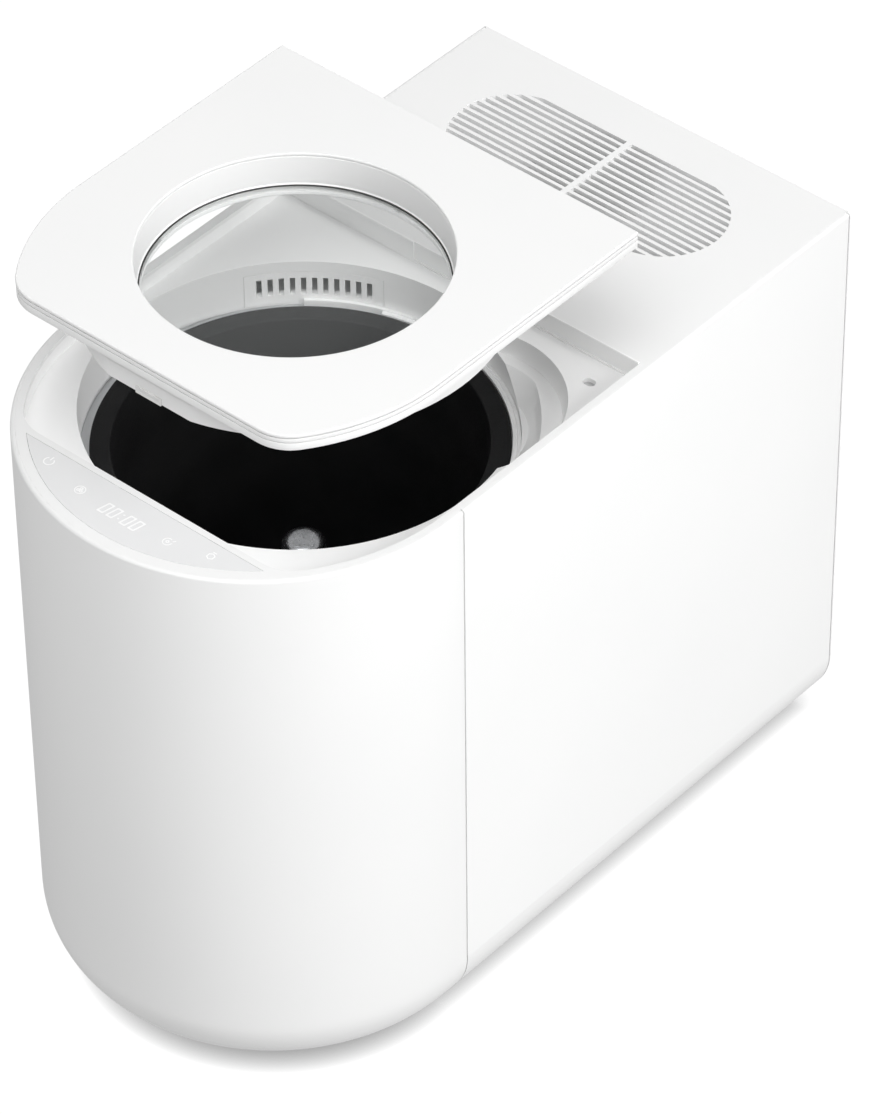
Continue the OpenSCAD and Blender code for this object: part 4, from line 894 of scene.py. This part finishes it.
dressed = {
    "top_deck": ("shellWhite", 0.00025),
    "recess_tray": ("trayWhitePaintedLight", 0.0007),
    "rear_rail": ("trayWhitePaintedLight", 0.0002),
    "bucket_guide": ("trayWhitePaintedLight", 0.0003),
    "vent_insert": ("trayWhitePaintedLight", 0.00015),
    "touch_panel": ("panelGrey", 0.00015),
    "display_board": ("boardGreen", 0),
    "rear_panel": ("shellWhite", 0.0003),
    "base_pan": ("trayWhitePaintedLight", 0.0003),
    "lid_plate": ("shellWhite", 0.0008),
    "lid_tray": ("plugWhitePaintedShade", 0.0005),
    "lid_seal": ("sealWhite", 0.0003),
    "latch_tab": ("sealWhite", 0.0002),
    "lid_peg": ("housingBlack", 0.0003),
    "lid_sensor": ("linerGrey", 0.0003),
    "chamber": ("castAlloy", 0.0004),
    "chamber_legs": ("castAlloy", 0.0003),
    "heater_band": ("turnedBrass", 0.0003),
    "shaft_seal": ("gasketBlack", 0.0003),
    "drive_shaft": ("brushedSteel", 0.0004),
    "shaft_bearing": ("brushedSteel", 0.0003),
    "drive_gear": ("gearNylon", 0.0002),
    "gear_bracket": ("brushedSteel", 0.0003),
    "foot_bush": ("turnedBrass", 0.0003),
    "gear_motor": ("brushedSteel", 0.0004),
    "motor_shaft": ("brushedSteel", 0.0003),
    "motor_pinion": ("turnedBrass", 0.0002),
    "partition": ("castAlloy", 0.0003),
    "exhaust_duct": ("trayWhitePaintedLight", 0.0003),
    "filter_box": ("trayWhitePaintedLight", 0.0003),
    "filter_cartridge": ("carbonBlack", 0.0003),
    "filter_stand": ("brushedSteel", 0.0002),
    "fan_frame": ("housingBlack", 0.0003),
    "fan_impeller": ("housingBlack", 0.0002),
    "exhaust_collar": ("linerGrey", 0.0003),
    "power_inlet": ("housingBlack", 0.0003),
    "power_board": ("boardGreen", 0.0002),
    "feet": ("gasketBlack", 0.0006),
    "rear_screws": ("brushedSteel", 0.0002),
    "base_screws": ("brushedSteel", 0.0002),
}
softEdges = {"weld": 0.000004, "flatAngle": 0.2, "steps": 2, "angle": 32, "evenWeight": 80}


def dressNode(name, finish, edge):
    node = nodes[name]
    restAll()
    node.select_set(True)
    bpy.context.view_layer.objects.active = node
    node.data.materials.clear()
    node.data.materials.append(finishes[finish])
    for polygon in node.data.polygons:
        polygon.use_smooth = True
        polygon.material_index = 0
    weld = node.modifiers.new("weld", "WELD")
    weld.merge_threshold = softEdges["weld"]
    flat = node.modifiers.new("flat", "DECIMATE")
    flat.decimate_type = "DISSOLVE"
    flat.angle_limit = math.radians(softEdges["flatAngle"])
    if edge:
        soft = node.modifiers.new("soft", "BEVEL")
        soft.width = edge
        soft.segments = softEdges["steps"]
        soft.limit_method = "ANGLE"
        soft.angle_limit = math.radians(softEdges["angle"])
        even = node.modifiers.new("even", "WEIGHTED_NORMAL")
        even.weight = softEdges["evenWeight"]
    node.select_set(False)


for name, (finish, edge) in dressed.items():
    dressNode(name, finish, edge)
print("CAD nodes dressed:", len(dressed))


# Floor: it glows evenly, and only close under the body its glow falls off to a painted contact shadow, set
# by an occlusion test and not cast by the lamps

floorLook = {"size": 30, "drop": 0.0002, "shade": 0.08, "glow": 1.035, "reach": 0.0165, "samples": 16}


def makeFloor():
    restAll()
    bpy.ops.mesh.primitive_plane_add(size=floorLook["size"], location=(0, 0, -floorLook["drop"]))
    floor = nameNew("studioFloor")
    material, tree, shader, where = blankMaterial("floorWhite")
    # Painted contact shadow: occlusion close to the body dims the floor's glow
    paintedShadow = tree.nodes.new("ShaderNodeAmbientOcclusion")
    paintedShadow.inputs["Distance"].default_value = floorLook["reach"]
    paintedShadow.samples = floorLook["samples"]
    glow = tree.nodes.new("ShaderNodeEmission")
    span = tree.nodes.new("ShaderNodeMapRange")
    span.inputs["To Min"].default_value = floorLook["shade"]
    span.inputs["To Max"].default_value = floorLook["glow"]
    tree.links.new(paintedShadow.outputs["AO"], span.inputs["Value"])
    tree.links.new(span.outputs["Result"], glow.inputs["Strength"])
    tree.links.new(glow.outputs["Emission"], tree.nodes["Material Output"].inputs["Surface"])
    floor.data.materials.append(material)
    floor.visible_diffuse = False
    floor.visible_glossy = False
    floor.select_set(False)


makeFloor()
print("floor made")


# Leave object mode with nothing selected
restAll()
